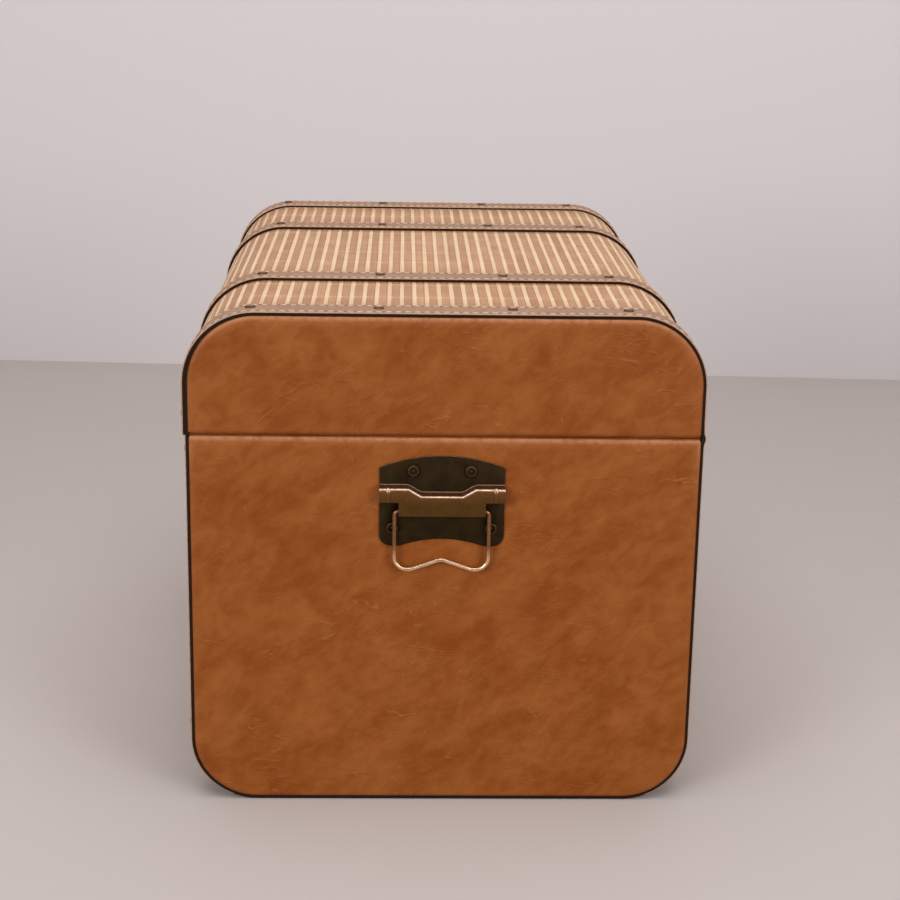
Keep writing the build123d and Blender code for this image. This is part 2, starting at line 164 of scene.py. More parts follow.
def turnedGrid(profile, places, axes, around=24):
    # A turned form: each (radius, height) of the profile goes round the axis that stands at each place
    profile, places, axes = (np.asarray(part, float) for part in (profile, places, axes))
    helper = np.where(np.abs(axes[:, 2:]) > 0.9, [[1.0, 0.0, 0.0]], [[0.0, 0.0, 1.0]])
    first = np.cross(helper, axes)
    first /= np.linalg.norm(first, axis=1)[:, None]
    second = np.cross(axes, first)
    angle = np.linspace(0, 2 * pi, around, endpoint=False)[:, None]
    radius, height = profile[None, :, None, None, 0], profile[None, :, None, None, 1]
    spoke = np.cos(angle) * first[:, None, None] + np.sin(angle) * second[:, None, None]
    return places[:, None, None] + radius * spoke + height * axes[:, None, None]


def smoothStep(low, high, value):
    share = np.clip((value - low) / (high - low), 0, 1)
    return share * share * (3 - 2 * share)


def placeObject(name, data):
    item = bpy.data.objects.new(name, data)
    bpy.context.scene.collection.objects.link(item)
    return item


def addPiece(name, mesh, look, body=None, nodes=""):
    # Nodes are the CAD nodes that the piece stands for, with blanks between them
    piece = placeObject(name, mesh)
    material, usualSlot = looks[look]
    mesh.materials.clear()
    mesh.materials.append(material)
    if body:
        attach(piece, body)
    if nodes:
        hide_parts(*nodes.split())
    return piece


def shadeMesh(mesh, sharp):
    mesh.polygons.foreach_set("use_smooth", np.ones(len(mesh.polygons), bool))
    mesh.set_sharp_from_angle(angle=radians(sharp))


def withPoles(part):
    # All points in one run, then the middle of each copy's first ring and of its last
    return np.concatenate([part.reshape(-1, *part.shape[3:]), part[:, 0].mean(1), part[:, -1].mean(1)])


def buildPiece(name, grid, look, body=None, nodes="", values=None, sharp=50):
    # Puts a grid of points (rows, columns around) or (copies, rows, columns around) into one mesh.
    # Neighbours share an edge, columns close into a ring, and a pole closes each end of the rows.
    # Values are one number for each point, kept as attributes for the materials.
    grid = np.asarray(grid, float)
    grid = grid[None] if grid.ndim == 3 else grid
    copies, rows, cols = grid.shape[:3]
    index = np.arange(copies * rows * cols).reshape(copies, rows, cols)
    ring = np.concatenate([index, index[..., :1]], axis=2)
    here, after = ring[..., :-1], ring[..., 1:]
    quads = np.stack([here[:, :-1], here[:, 1:], after[:, 1:], after[:, :-1]], axis=3).reshape(-1, 4)
    points = withPoles(grid)
    pole = copies * rows * cols + np.arange(copies)[:, None] + np.zeros((1, cols), int)
    fans = np.stack([[here[:, 0], after[:, 0], pole], [after[:, -1], here[:, -1], pole + copies]])
    fans = np.moveaxis(fans, 1, -1).reshape(-1, 3)
    a, b, c = (points[quads[:, k]] - points.mean(0) for k in (0, 1, 2))
    if np.einsum("ij,ij->", a, np.cross(b, c)) < 0:
        quads, fans = quads[:, ::-1], fans[:, ::-1]
    mesh = bpy.data.meshes.new(name)
    mesh.from_pydata(points.tolist(), [], quads.tolist() + fans.tolist())
    for label, value in (values or {}).items():
        value = np.broadcast_to(value, (copies, rows, cols)).astype(float)
        mesh.attributes.new(label, "FLOAT", "POINT").data.foreach_set("value", withPoles(value))
    shadeMesh(mesh, sharp)
    mesh.update()
    return addPiece(name, mesh, look, body, nodes)


def pressedCopy(name, node, look, body, edge=0.00025, crest=None):
    # A merged copy of a sheet-metal node with its sharp edges rolled over. The rolled faces are marked as worn,
    # most where they look up, where it is a painted highlight from the top light, and the crest test adds the
    # faces that it picks from their normals, a painted highlight along the crest.
    sharp = 35
    build = bmesh.new()
    build.from_mesh(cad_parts[node].data)
    bmesh.ops.remove_doubles(build, verts=build.verts, dist=1e-6)
    bmesh.ops.dissolve_limit(build, angle_limit=radians(0.6), verts=build.verts, edges=build.edges)
    wearAndSheen = build.faces.layers.float.new("wearAndSheen")
    edges = [e for e in build.edges if len(e.link_faces) == 2 and e.calc_face_angle(0) > radians(sharp)]
    rolled = bmesh.ops.bevel(build, geom=edges, offset=edge, segments=2, profile=0.5, affect="EDGES",
                             clamp_overlap=True)
    for face in rolled["faces"]:
        face[wearAndSheen] = 1.0
    mesh = bpy.data.meshes.new(name)
    build.to_mesh(mesh)
    build.free()
    normals, wornAndLit = np.zeros(len(mesh.polygons) * 3), np.zeros(len(mesh.polygons))
    mesh.polygons.foreach_get("normal", normals)
    normals = normals.reshape(-1, 3)
    layer = mesh.attributes["wearAndSheen"]
    layer.data.foreach_get("value", wornAndLit)
    # Painted highlight: rolled faces that look up get most of the value
    wornAndLit = wornAndLit * (0.12 + 0.88 * smoothStep(0.1, 0.7, normals[:, 2]))
    layer.data.foreach_set("value", np.maximum(wornAndLit, crest(normals)) if crest else wornAndLit)
    shadeMesh(mesh, sharp)
    return addPiece(name, mesh, look, body, node)


class Paint:
    # Adds nodes to one node tree. Values are numbers, colours or the outputs of other nodes.
    def __init__(self, tree):
        self.tree = tree

    def put(self, value, socket):
        if isinstance(value, bpy.types.NodeSocket):
            self.tree.links.new(value, socket)
        else:
            socket.default_value = value

    def add(self, kind, inputs=None, **settings):
        node = self.tree.nodes.new("ShaderNode" + kind)
        for key, value in settings.items():
            setattr(node, key, value)
        for key, value in (inputs or {}).items():
            self.put(value, node.inputs[key])
        return node.outputs

    def math(self, operation, *values, clamp=False):
        return self.add("Math", dict(enumerate(values)), operation=operation, use_clamp=clamp)[0]

    def times(self, a, b):
        return self.math("MULTIPLY", a, b)

    def timesPlus(self, a, b, c, clamp=False):
        return self.math("MULTIPLY_ADD", a, b, c, clamp=clamp)

    def scaled(self, vector, factor):
        return self.add("VectorMath", {0: vector, 3: factor}, operation="SCALE")[0]

    def sized(self, given):
        return self.scaled(given["Vector"], self.math("DIVIDE", 1.0, given["Size"]))

    def split(self, vector):
        return self.add("SeparateXYZ", {0: vector})

    def drawnOut(self, vector, sizes):
        # Each coordinate divided by its own size
        parts = [self.math("DIVIDE", part, size) for part, size in zip(self.split(vector), sizes)]
        return self.add("CombineXYZ", dict(enumerate(parts)))[0]

    def leant(self, vector, angle):
        return self.add("VectorRotate", {"Vector": vector, "Angle": angle}, rotation_type="X_AXIS")[0]

    def noise(self, vector, scale, detail, roughness=0.5, distortion=0.0):
        inputs = {"Vector": vector, "Scale": scale, "Detail": detail}
        return self.add("TexNoise", {**inputs, "Roughness": roughness, "Distortion": distortion})

    def ranged(self, value, low, high, toLow=0.0, toHigh=1.0):
        sockets = dict(enumerate((value, low, high, toLow, toHigh)))
        return self.add("MapRange", sockets, interpolation_type="SMOOTHSTEP")[0]

    def tinted(self, factor, a, b):
        a, b = ((*colour, 1.0) if isinstance(colour, tuple) else colour for colour in (a, b))
        return self.add("Mix", {0: factor, 6: a, 7: b}, data_type="RGBA")[2]

    def attribute(self, name):
        return self.add("Attribute", attribute_name=name)["Fac"]

    def use(self, group, **inputs):
        return self.add("Group", inputs, node_tree=groups[group])

    def cloud(self, vector, size, detail=4.0):
        return self.use("cloud", Vector=vector, Size=size, Detail=detail)["Tone"]

    # A value broken up by noise: it marks wear, and painted highlight where the caller's value does
    def rubbedAndLit(self, vector, wearAndSheen, size, amount, broken=0.7):
        wearAndSheen = self.attribute(wearAndSheen)
        return self.use("rubAndSheen", Vector=vector, Wear=wearAndSheen, Size=size, Amount=amount, Break=broken)["Mask"]

    def close(self, **outputs):
        # Ends a group with these outputs
        for label in outputs:
            self.tree.interface.new_socket(name=label, in_out="OUTPUT", socket_type="NodeSocketFloat")
        end = self.tree.nodes.new("NodeGroupOutput")
        for label, value in outputs.items():
            self.tree.links.new(value, end.inputs[label])
        return self.tree

    def finish(self, colour, roughness, bumps, metallic=None):
        # Bumps are (height, depth in metres), chained so that each sits on the one before
        linked, below = {"Base Color": colour, "Roughness": roughness, "Metallic": metallic}, {}
        for height, depth in bumps:
            bump = self.add("Bump", {"Height": height, "Distance": depth, "Strength": 1.0, **below})
            below = {"Normal": bump[0]}
        for label, value in {**linked, **below}.items():
            if value is not None:
                self.tree.links.new(value, self.shader.inputs[label])
        return self.material


def newGroup(name, **inputs):
    # An input whose default is None is a vector
    tree = bpy.data.node_groups.new(name, "ShaderNodeTree")
    for label, default in inputs.items():
        kind = "NodeSocketVector" if default is None else "NodeSocketFloat"
        socket = tree.interface.new_socket(name=label, in_out="INPUT", socket_type=kind)
        if default is not None:
            socket.default_value = default
    return Paint(tree), tree.nodes.new("NodeGroupInput").outputs


def cloudGroup():
    # Soft patches about Size across
    paint, given = newGroup("cloudyTone", Vector=None, Size=0.03, Detail=4.0)
    noise = paint.noise(paint.sized(given), 1.0, given["Detail"], 0.58, 0.5)["Fac"]
    return paint.close(Tone=paint.ranged(noise, 0.3, 0.7))


def grainGroup():
    # Pebbled grain: flat cells about Size across with sunk lines between them
    paint, given = newGroup("leatherGrain", Vector=None, Size=0.001)
    place = paint.sized(given)
    place = paint.add("VectorMath", {0: place, 1: paint.noise(place, 0.6, 2.0)["Color"]}, operation="ADD")[0]
    cells = paint.add("TexVoronoi", {"Vector": place, "Scale": 1.0}, feature="DISTANCE_TO_EDGE")
    flat = paint.ranged(cells["Distance"], 0.0, 0.22)
    return paint.close(Height=paint.timesPlus(paint.noise(place, 2.3, 3.0)["Fac"], 0.45, flat))


def creaseGroup():
    # Long thin creases in small sheaves: the contour lines of a noise drawn out Length long and Width
    # wide along a line that leans by Lean, kept only in patches. Soft is a wider band round each line.
    paint, given = newGroup("leatherCreases", Vector=None, Lean=0.4, Length=0.02, Width=0.007, Cover=0.5)
    wide = paint.scaled(given["Vector"], 32.0)
    sway = {0: paint.noise(wide, 1.3, 1.5)["Color"], 1: (0.007, 0.007, 0.007), 2: given["Vector"]}
    swayed = paint.add("VectorMath", sway, operation="MULTIPLY_ADD")[0]
    sizes = [given[size] for size in ("Width", "Length", "Width")]
    place = paint.drawnOut(paint.leant(swayed, given["Lean"]), sizes)
    away = paint.math("PINGPONG", paint.times(paint.noise(place, 1.0, 0.0)["Fac"], 5.0), 0.5)
    limit = paint.timesPlus(given["Cover"], -0.3, 0.7)
    patches = paint.ranged(paint.noise(wide, 0.9, 1.0)["Fac"], limit, paint.math("ADD", limit, 0.12))
    patches = paint.times(patches, paint.ranged(paint.noise(place, 1.3, 2.0)["Fac"], 0.47, 0.62))
    line, soft = (paint.times(paint.ranged(away, 0.0, reach, 1.0, 0.0), patches) for reach in (0.065, 0.22))
    return paint.close(Line=line, Soft=soft)


def fibreGroup():
    # Fine lines that run along X: noise stretched by Length over Width
    paint, given = newGroup("fibreLines", Vector=None, Width=0.0004, Length=0.05)
    place = paint.drawnOut(given["Vector"], [given[size] for size in ("Length", "Width", "Width")])
    wide, fine = paint.noise(place, 0.35, 3.0, 0.6)["Fac"], paint.noise(place, 1.0, 2.0)["Fac"]
    return paint.close(Tone=paint.ranged(wide, 0.3, 0.7), Fine=fine)


def rubAndSheenGroup():
    # Worn edges and painted highlight: the value, broken up by a noise about Size across
    paint, given = newGroup("edgeRubAndSheen", Vector=None, Wear=0.0, Size=0.004, Amount=1.0, Break=0.7)
    noise = paint.noise(paint.sized(given), 1.0, 4.0, 0.65)["Fac"]
    broken = paint.ranged(noise, 0.28, 0.6, paint.math("SUBTRACT", 1.0, given["Break"]), 1.0)
    wornAndLit = paint.times(given["Wear"], broken)
    return paint.close(Mask=paint.math("MULTIPLY", wornAndLit, given["Amount"], clamp=True))


def weaveGroup():
    # Plain weave: the product of two waves, one across and one along, Pitch apart
    paint, given = newGroup("weave", Across=0.0, Along=0.0, Pitch=0.001)
    step = paint.math("DIVIDE", pi, given["Pitch"])
    first, second = (paint.math("SINE", paint.times(given[way], step)) for way in ("Across", "Along"))
    return paint.close(Height=paint.timesPlus(paint.times(first, second), 0.5, 0.5))


groups = {
    "cloud": cloudGroup(), "grain": grainGroup(), "crease": creaseGroup(),
    "fibre": fibreGroup(), "rubAndSheen": rubAndSheenGroup(), "weave": weaveGroup(),
}
print("trunk: shader groups made:", len(groups))


def newMaterial(name, **constants):
    material = bpy.data.materials.new(name)
    material.use_nodes = True
    paint = Paint(material.node_tree)
    paint.material, paint.shader = material, material.node_tree.nodes["Principled BSDF"]
    for label, value in constants.items():
        paint.shader.inputs[label.replace("_", " ")].default_value = value
    return paint, paint.add("TexCoord")["Object"]


caramelLook = {
    "deep": (0.245, 0.056, 0.0040),
    "middle": (0.292, 0.079, 0.0110),
    "light": (0.345, 0.106, 0.0215),
    # the crease lines' light colour: a painted highlight on their crests
    "crease": (0.50, 0.215, 0.085),
    # the rubbed edges' light colour, also a painted highlight along the top edges
    "rubbedAndLit": (0.52, 0.225, 0.100),
    "patchSize": (0.036, 0.009),
    "patchShare": (0.64, 0.42),
    "creaseLean": (radians(-36), radians(9)),
    "creaseLength": (0.075, 0.065),
    "creaseWidth": (0.0090, 0.0080),
    "creaseCover": (0.85, 0.75),
    "creaseShare": (0.28, 0.34),
    # how far the band round each crease is darkened: painted shade
    "creaseShade": 0.35,
    "creaseDepth": 0.00022,
    "grainSize": 0.0011,
    "grainDepth": 0.00005,
}


def caramelLeather():
    # Smooth finished leather: cloudy patches, two sets of long creases painted lighter on their crests as a
    # painted highlight with painted shade beside them, and rubbed edges with a painted highlight along the top
    # edges
    look = caramelLook
    paint, place = newMaterial("caramelLeather", Specular_IOR_Level=0.24)
    drawn = {0: paint.leant(place, look["creaseLean"][0]), 1: (1.0, 0.6, 1.0)}
    drawn = paint.add("VectorMath", drawn, operation="MULTIPLY")[0]
    patches, small = (paint.cloud(drawn, size, detail) for size, detail in zip(look["patchSize"], (4.0, 5.0)))
    patchShare, smallShare = look["patchShare"]
    tone = paint.timesPlus(small, smallShare, paint.times(patches, patchShare))
    ramp = paint.tree.nodes.new("ShaderNodeValToRGB")
    paint.put(tone, ramp.inputs[0])
    low, high = ramp.color_ramp.elements
    low.color, low.position = (*look["deep"], 1), 0.1
    high.color, high.position = (*look["light"], 1), 0.95
    ramp.color_ramp.elements.new(0.5).color = (*look["middle"], 1)
    sets = zip(look["creaseLean"], look["creaseLength"], look["creaseWidth"], look["creaseCover"])
    rising, level = (
        paint.use("crease", Vector=place, Lean=lean, Length=length, Width=width, Cover=cover)
        for lean, length, width, cover in sets
    )
    lines = [paint.times(found["Line"], share) for found, share in zip((rising, level), look["creaseShare"])]
    soft = paint.math("ADD", rising["Soft"], level["Soft"], clamp=True)
    # Painted shade: darker towards the deep tone in the band round each crease
    colour = paint.tinted(paint.times(soft, look["creaseShade"]), ramp.outputs[0], look["deep"])
    # Painted highlight: the crease lines lighter, as their lit crests
    colour = paint.tinted(paint.math("ADD", *lines, clamp=True), colour, look["crease"])
    # Rubbed edges, lighter still along the top edges as a painted highlight
    colour = paint.tinted(paint.rubbedAndLit(place, "edge", 0.006, 0.8), colour, look["rubbedAndLit"])
    grain = paint.use("grain", Vector=place, Size=look["grainSize"])["Height"]
    height = paint.timesPlus(soft, 0.6, paint.times(patches, 0.4))
    bumps = [(height, look["creaseDepth"]), (grain, look["grainDepth"])]
    return paint.finish(colour, paint.timesPlus(patches, -0.08, 0.44), bumps)


taupeLook = {
    "face": (0.40, 0.230, 0.148),
    "pale": (0.56, 0.37, 0.26),
    "dark": (0.28, 0.148, 0.090),
    # near black: the cut edge, and painted shade in the gaps and near the floor
    "cutEdgeAndShade": (0.017, 0.0065, 0.0022),
    # the needle holes' dark colour: painted shade
    "hole": (0.12, 0.055, 0.028),
}


def taupeLeather():
    # Matt strap leather with a short nap, paler where it stands up at its edges, near black on its cut sides
    # and the gap strips, partly the cut edge and partly painted shade between band and pad, and near the floor
    # as a painted contact shadow
    look = taupeLook
    paint, place = newMaterial("taupeLeather", Specular_IOR_Level=0.15)
    patches, nap = paint.cloud(place, 0.012), paint.cloud(place, 0.0012, 3.0)
    colour = paint.tinted(paint.times(patches, 0.6), look["face"], look["dark"])
    lift = paint.math("MAXIMUM", paint.rubbedAndLit(place, "edge", 0.003, 0.8), paint.times(nap, 0.3))
    colour = paint.tinted(lift, colour, look["pale"])
    # Painted shade in the needle holes
    colour = paint.tinted(paint.times(paint.attribute("hole"), 0.8), colour, look["hole"])
    # Near black on the cut sides, the gap strips and the sides near the floor: partly the cut edge, partly
    # painted shade
    colour = paint.tinted(paint.ranged(paint.attribute("cut"), 0.35, 0.65), colour, look["cutEdgeAndShade"])
    grain = paint.use("grain", Vector=place, Size=0.0009)["Height"]
    return paint.finish(colour, paint.timesPlus(nap, 0.12, 0.6), [(nap, 0.0001), (grain, 0.00006)])


bambooLook = {
    "pale": (0.89, 0.64, 0.41),
    "paleLow": (0.74, 0.485, 0.28),
    "brown": (0.61, 0.335, 0.178),
    "brownLow": (0.43, 0.210, 0.100),
    "groove": (0.16, 0.07, 0.03),
    # the colour of the painted shade beside the bands
    "shadeByBands": (0.34, 0.115, 0.040),
}


def bambooSlats():
    # Split slats in two colours, each with its own tone, fine fibres along it, and painted shade beside the
    # bands
    look = bambooLook
    paint, place = newMaterial("bambooSlats", Specular_IOR_Level=0.28)
    tone, pale = paint.attribute("slatTone"), paint.attribute("pale")
    fibre = paint.use("fibre", Vector=place, Width=0.0005, Length=0.06)
    cell = paint.add("CombineXYZ", {0: paint.split(place)[0], 1: paint.times(tone, 3.0)})[0]
    mixed = paint.math("ADD", paint.times(tone, 0.45), paint.times(fibre["Tone"], 0.3))
    mixed = paint.timesPlus(paint.cloud(cell, 0.04, 2.0), 0.5, mixed, clamp=True)
    brown = paint.tinted(mixed, look["brown"], look["brownLow"])
    light = paint.tinted(paint.times(mixed, 0.7), look["pale"], look["paleLow"])
    colour = paint.tinted(paint.ranged(pale, 0.35, 0.65), brown, light)
    # Painted shade beside the bands
    colour = paint.tinted(paint.times(paint.attribute("shadeByBands"), 0.9), colour, look["shadeByBands"])
    colour = paint.tinted(paint.times(paint.attribute("groove"), 0.8), colour, look["groove"])
    bumps = [(fibre["Tone"], 0.00012), (fibre["Fine"], 0.00006)]
    return paint.finish(colour, paint.timesPlus(fibre["Fine"], 0.2, 0.42), bumps)


threadLook = {
    "stitchThread": ((0.82, 0.58, 0.42), (0.62, 0.41, 0.28)),
    "matThread": ((0.67, 0.44, 0.28), (0.54, 0.34, 0.21)),
    "twist": {"Scale": 420.0, "Distortion": 1.5},
}


def twistedThread(name):
    # Twisted thread: a slanting wave breaks up the colour and the surface. It is pale over pale slats.
    paint, place = newMaterial(name, Specular_IOR_Level=0.3, Sheen_Weight=0.15)
    wave = paint.add("TexWave", {"Vector": place, **threadLook["twist"]}, bands_direction="DIAGONAL")["Fac"]
    fuzz = paint.cloud(place, 0.002, 2.0)
    colour = paint.tinted(paint.times(paint.math("ADD", wave, fuzz), 0.4), *threadLook[name])
    colour = paint.tinted(paint.ranged(paint.attribute("pale"), 0.35, 0.65), colour, bambooLook["pale"])
    return paint.finish(colour, paint.timesPlus(fuzz, 0.15, 0.62), [(wave, 0.00008)])


# Metals: two patina tones, the bright metal below, shown where worn and as painted highlight, its roughness
# there and where not, the patches' size and how far that value is broken up
metalLooks = {
    "darkPlate": {
        "patina": ((0.0172, 0.0096, 0.0021), (0.0385, 0.0208, 0.0047)), "bright": (0.46, 0.27, 0.15),
        "rough": (0.3, 0.5), "size": 0.012, "broken": 0.5,
    },
    "oldBrass": {
        "patina": ((0.097, 0.045, 0.0080), (0.139, 0.065, 0.0155)), "bright": (0.66, 0.46, 0.34),
        "rough": (0.24, 0.38), "size": 0.010, "broken": 0.5,
        "crown": (0.252, 0.266, (0.172, 0.068, 0.0200)),  # painted highlight: lightens and warms to this colour between these heights, towards the crest
    },
    "wireBrass": {
        "patina": ((0.135, 0.046, 0.0090), (0.236, 0.090, 0.021)), "bright": (0.90, 0.61, 0.38),
        "rough": (0.17, 0.24), "size": 0.006, "broken": 0.35,
    },
    "fastenerBronze": {
        "patina": ((0.095, 0.045, 0.025), (0.165, 0.086, 0.050)), "bright": (0.42, 0.27, 0.18),
        "rough": (0.30, 0.45), "size": 0.003, "broken": 0.3,
    },
}


def agedMetal(name):
    # Antiqued metal: a dark patina in soft patches, turned to bright metal where the value for wear and painted
    # highlight is high
    look = metalLooks[name]
    paint, place = newMaterial(name, Specular_IOR_Level=0.5)
    patina, speck = paint.cloud(place, look["size"], 5.0), paint.cloud(place, look["size"] * 0.1)
    mixed = paint.timesPlus(speck, 0.35, paint.times(patina, 0.65))
    colour = paint.tinted(mixed, *look["patina"])
    # Painted highlight: lighter and warmer towards the hood's crest, by height
    if "crown" in look:
        low, high, warm = look["crown"]
        colour = paint.tinted(paint.ranged(paint.split(place)[2], low, high), colour, warm)
    wornAndLit = paint.rubbedAndLit(place, "wearAndSheen", 0.0025, 1.0, look["broken"])
    colour = paint.tinted(wornAndLit, colour, look["bright"])
    smooth, dull = look["rough"]
    rough = paint.timesPlus(speck, 0.08, paint.timesPlus(wornAndLit, smooth - dull, dull))
    return paint.finish(colour, rough, [(speck, 0.00003)], paint.ranged(wornAndLit, 0.0, 0.4, 0.85, 1.0))


clothLook = {
    "lining": ((0.175, 0.112, 0.068), (0.27, 0.182, 0.115)),
    "liningPatch": (0.20, 0.12, 0.07),
    "felt": ((0.010, 0.010, 0.010), (0.035, 0.033, 0.031)),
    "ply": ((0.52, 0.34, 0.19), (0.36, 0.21, 0.10)),
}


def liningCloth():
    # Plain woven cloth. Walls are woven across and up, floor and lid top across and along.
    paint, place = newMaterial("liningCloth", Specular_IOR_Level=0.2, Sheen_Weight=0.2)
    split, facing = paint.split(place), paint.split(paint.add("NewGeometry")["Normal"])
    level = paint.ranged(paint.math("ABSOLUTE", facing[2]), 0.6, 0.75)
    across = paint.add("Mix", {0: level, 2: paint.math("ADD", split[0], split[1]), 3: split[0]})[0]
    along = paint.add("Mix", {0: level, 2: split[2], 3: split[1]})[0]
    weave = paint.use("weave", Across=across, Along=along, Pitch=0.0011)["Height"]
    patches = paint.cloud(place, 0.02)
    colour = paint.tinted(weave, *clothLook["lining"])
    colour = paint.tinted(paint.times(patches, 0.3), colour, clothLook["liningPatch"])
    return paint.finish(colour, paint.timesPlus(patches, 0.1, 0.8), [(weave, 0.0002)])


def feltCloth():
    paint, place = newMaterial("feltCloth", Specular_IOR_Level=0.15)
    fuzz = paint.cloud(place, 0.0015)
    colour = paint.tinted(fuzz, *clothLook["felt"])
    return paint.finish(colour, paint.timesPlus(fuzz, 0.08, 0.88), [(fuzz, 0.0002)])


def plyBoard():
    paint, place = newMaterial("plyBoard", Specular_IOR_Level=0.3)
    fibre = paint.use("fibre", Vector=place, Width=0.0015, Length=0.12)
    colour = paint.tinted(fibre["Tone"], *clothLook["ply"])
    return paint.finish(colour, paint.timesPlus(fibre["Fine"], 0.1, 0.6), [(fibre["Fine"], 0.0001)])


# Each look is a material and the name of a slot, which the pieces are not given here
looks = {
    "caramel": (caramelLeather(), "tan_leather"),
    "taupe": (taupeLeather(), "taupe_leather"),
    "bamboo": (bambooSlats(), "bamboo"),
    "stitch": (twistedThread("stitchThread"), "taupe_leather"),
    "matThread": (twistedThread("matThread"), "bamboo"),
    "plate": (agedMetal("darkPlate"), "dark_brass"),
    "brass": (agedMetal("oldBrass"), "old_brass"),
    "wire": (agedMetal("wireBrass"), "old_brass"),
    "bronze": (agedMetal("fastenerBronze"), "bronze_fastener"),
    "lining": (liningCloth(), None),
    "felt": (feltCloth(), None),
    "ply": (plyBoard(), None),
}
print("trunk: materials made:", len(looks))

# Padded ends. Low and high are their corners, radii run round from the bottom right one.
padLook = {
    "base": {
        "low": (-0.1969, 0.0025), "high": (0.1972, seamLow - 0.0004),
        "radii": (0.0503, 0.0022, 0.0022, 0.0503),
    },
    "lid": {
        "low": (-0.1973, seamHigh + 0.0013), "high": (0.1969, trunk["height"] - 0.0038),
        "radii": (0.0022, 0.053, 0.053, 0.0022),
    },
    "edgeRound": 0.0040,
    "edgeHeight": (0.42, 0.58),  # share of the thickness where the round starts, and what it adds
    "edgeWear": 0.0034,
    "lowWear": (0.15, 0.035),  # share of the rubbed edge away from the top, and how far the painted highlight along the top edge reaches
    "swell": 0.0004,
    "ripple": 0.00012,
    "rippleWaves": (61, 37, 73, 29),  # turns of its waves, in radians per metre
    "rippleSway": (1.3, 0.8),
    "fade": (0.003, 0.03),  # swell and ripple fade in over this stretch from an edge
    "plateMiddle": 0.2535,
    "plateHalf": (0.052, 0.041),
}
ringArc, ringRun = 20, 32  # points on a pad's corner, and on the straight run after it


def roundedRing(low, high, radii, inset):
    # The outline of a rectangle with four rounded corners, shrunk by inset: every corner keeps its
    # centre until its radius is used up. Corners run bottom right, top right, top left, bottom left.
    (y0, z0), (y1, z1) = low, high
    radii = np.asarray(radii, float)
    small = np.maximum(radii - inset, 0.0003)
    signs = np.array([(1, -1), (1, 1), (-1, 1), (-1, -1)])
    edges = np.array([(y1, z0), (y1, z1), (y0, z1), (y0, z0)])
    centres = edges - signs * (inset + small)[:, None]
    angles = np.radians([-90, 0, 90, 180])[:, None] + np.linspace(0, pi / 2, ringArc)[None]
    arcs = centres[:, None] + small[:, None, None] * np.stack([np.cos(angles), np.sin(angles)], axis=-1)
    ends = np.roll(arcs[:, 0], -1, axis=0)
    share = np.linspace(0, 1, ringRun + 2)[None, 1:-1, None]
    runs = arcs[:, -1:] + (ends[:, None] - arcs[:, -1:]) * share
    return np.concatenate([arcs, runs], axis=1).reshape(-1, 2)


def closeMiddle(mesh):
    # The last ring lies folded on the middle line, so welding its two runs closes the face
    build = bmesh.new()
    build.from_mesh(mesh)
    build.verts.ensure_lookup_table()
    bmesh.ops.delete(build, geom=[build.verts[-1]], context="VERTS")
    bmesh.ops.remove_doubles(build, verts=build.verts, dist=1e-6)
    build.to_mesh(mesh)
    build.free()


def makePad(body, side, sign):
    # Height over the board = thickness * quarter-ellipse of the distance from the edge, plus a slight
    # swell and ripple, both held down under the handle's plate. Rings run from the edge inwards as far as
    # the round corners leave them room, and the last one is folded flat on the middle line.
    look, edgeRound, (low, high, radii) = padLook, padLook["edgeRound"], padLook[body].values()
    span = high[1] - low[1]
    deepest = min(span / 2, span - max(radii))
    lineEnd = max(deepest, max(radii))
    turn = np.linspace(0, pi / 2, 9)
    inset = np.concatenate([[0.0, 0.0], edgeRound * (1 - np.cos(turn[1:])), np.linspace(0.008, deepest, 20)])
    share = np.clip(1 - inset / edgeRound, 0, 1)
    foot, rise = look["edgeHeight"]
    height = trunk["padThickness"] * (foot + rise * np.sqrt(1 - share ** 2))
    height[0] = 0.0
    rings = np.stack([roundedRing(low, high, radii, step) for step in inset])
    right, left, end = high[0] - lineEnd, low[0] + lineEnd, np.ones(2 * ringArc + ringRun)
    across = right + (left - right) * np.linspace(0, 1, ringRun + 2)[1:-1]
    rings[-1, :, 0] = np.concatenate([end * right, across, end * left, across[::-1]])
    rings[-1, :, 1] = low[1] + span / 2
    y, z = rings[..., 0], rings[..., 1]
    (alongY, swayZ, alongZ, swayY), (swayFirst, swaySecond) = look["rippleWaves"], look["rippleSway"]
    ripple = np.sin(y * alongY + swayFirst * np.sin(z * swayZ))
    ripple = ripple * np.sin(z * alongZ + swaySecond * np.sin(y * swayY))
    (plateY, plateZ), (held, free) = look["plateHalf"], look["fade"]
    away = np.maximum(np.abs(y - trunk["handleAcross"]) - plateY, np.abs(z - look["plateMiddle"]) - plateZ)
    loose = smoothStep(0.0, free, away) * smoothStep(held, free, inset)[:, None]
    x = height[:, None] + (look["swell"] + look["ripple"] * ripple) * loose
    x = trunk["endFace"] - trunk["padThickness"] + x
    # Edge value: the edges are rubbed lighter, and along the top edges, where the top light falls, they also
    # get a painted highlight
    edge = np.exp(-(inset / look["edgeWear"]) ** 2)[:, None]
    least, reach = look["lowWear"]
    edge = edge * (least + (1 - least) * smoothStep(reach, 0.0, high[1] - z))
    grid, node = np.stack([sign * x, y, z], axis=-1), f"{body}_end_pad_{side}"
    pad = buildPiece(f"{body}EndPad_{side}", grid, "caramel", body, node, {"edge": edge}, 70)
    closeMiddle(pad.data)


for side, sign in sides.items():
    makePad("base", side, sign)
    makePad("lid", side, sign)
print("trunk: padded ends made")

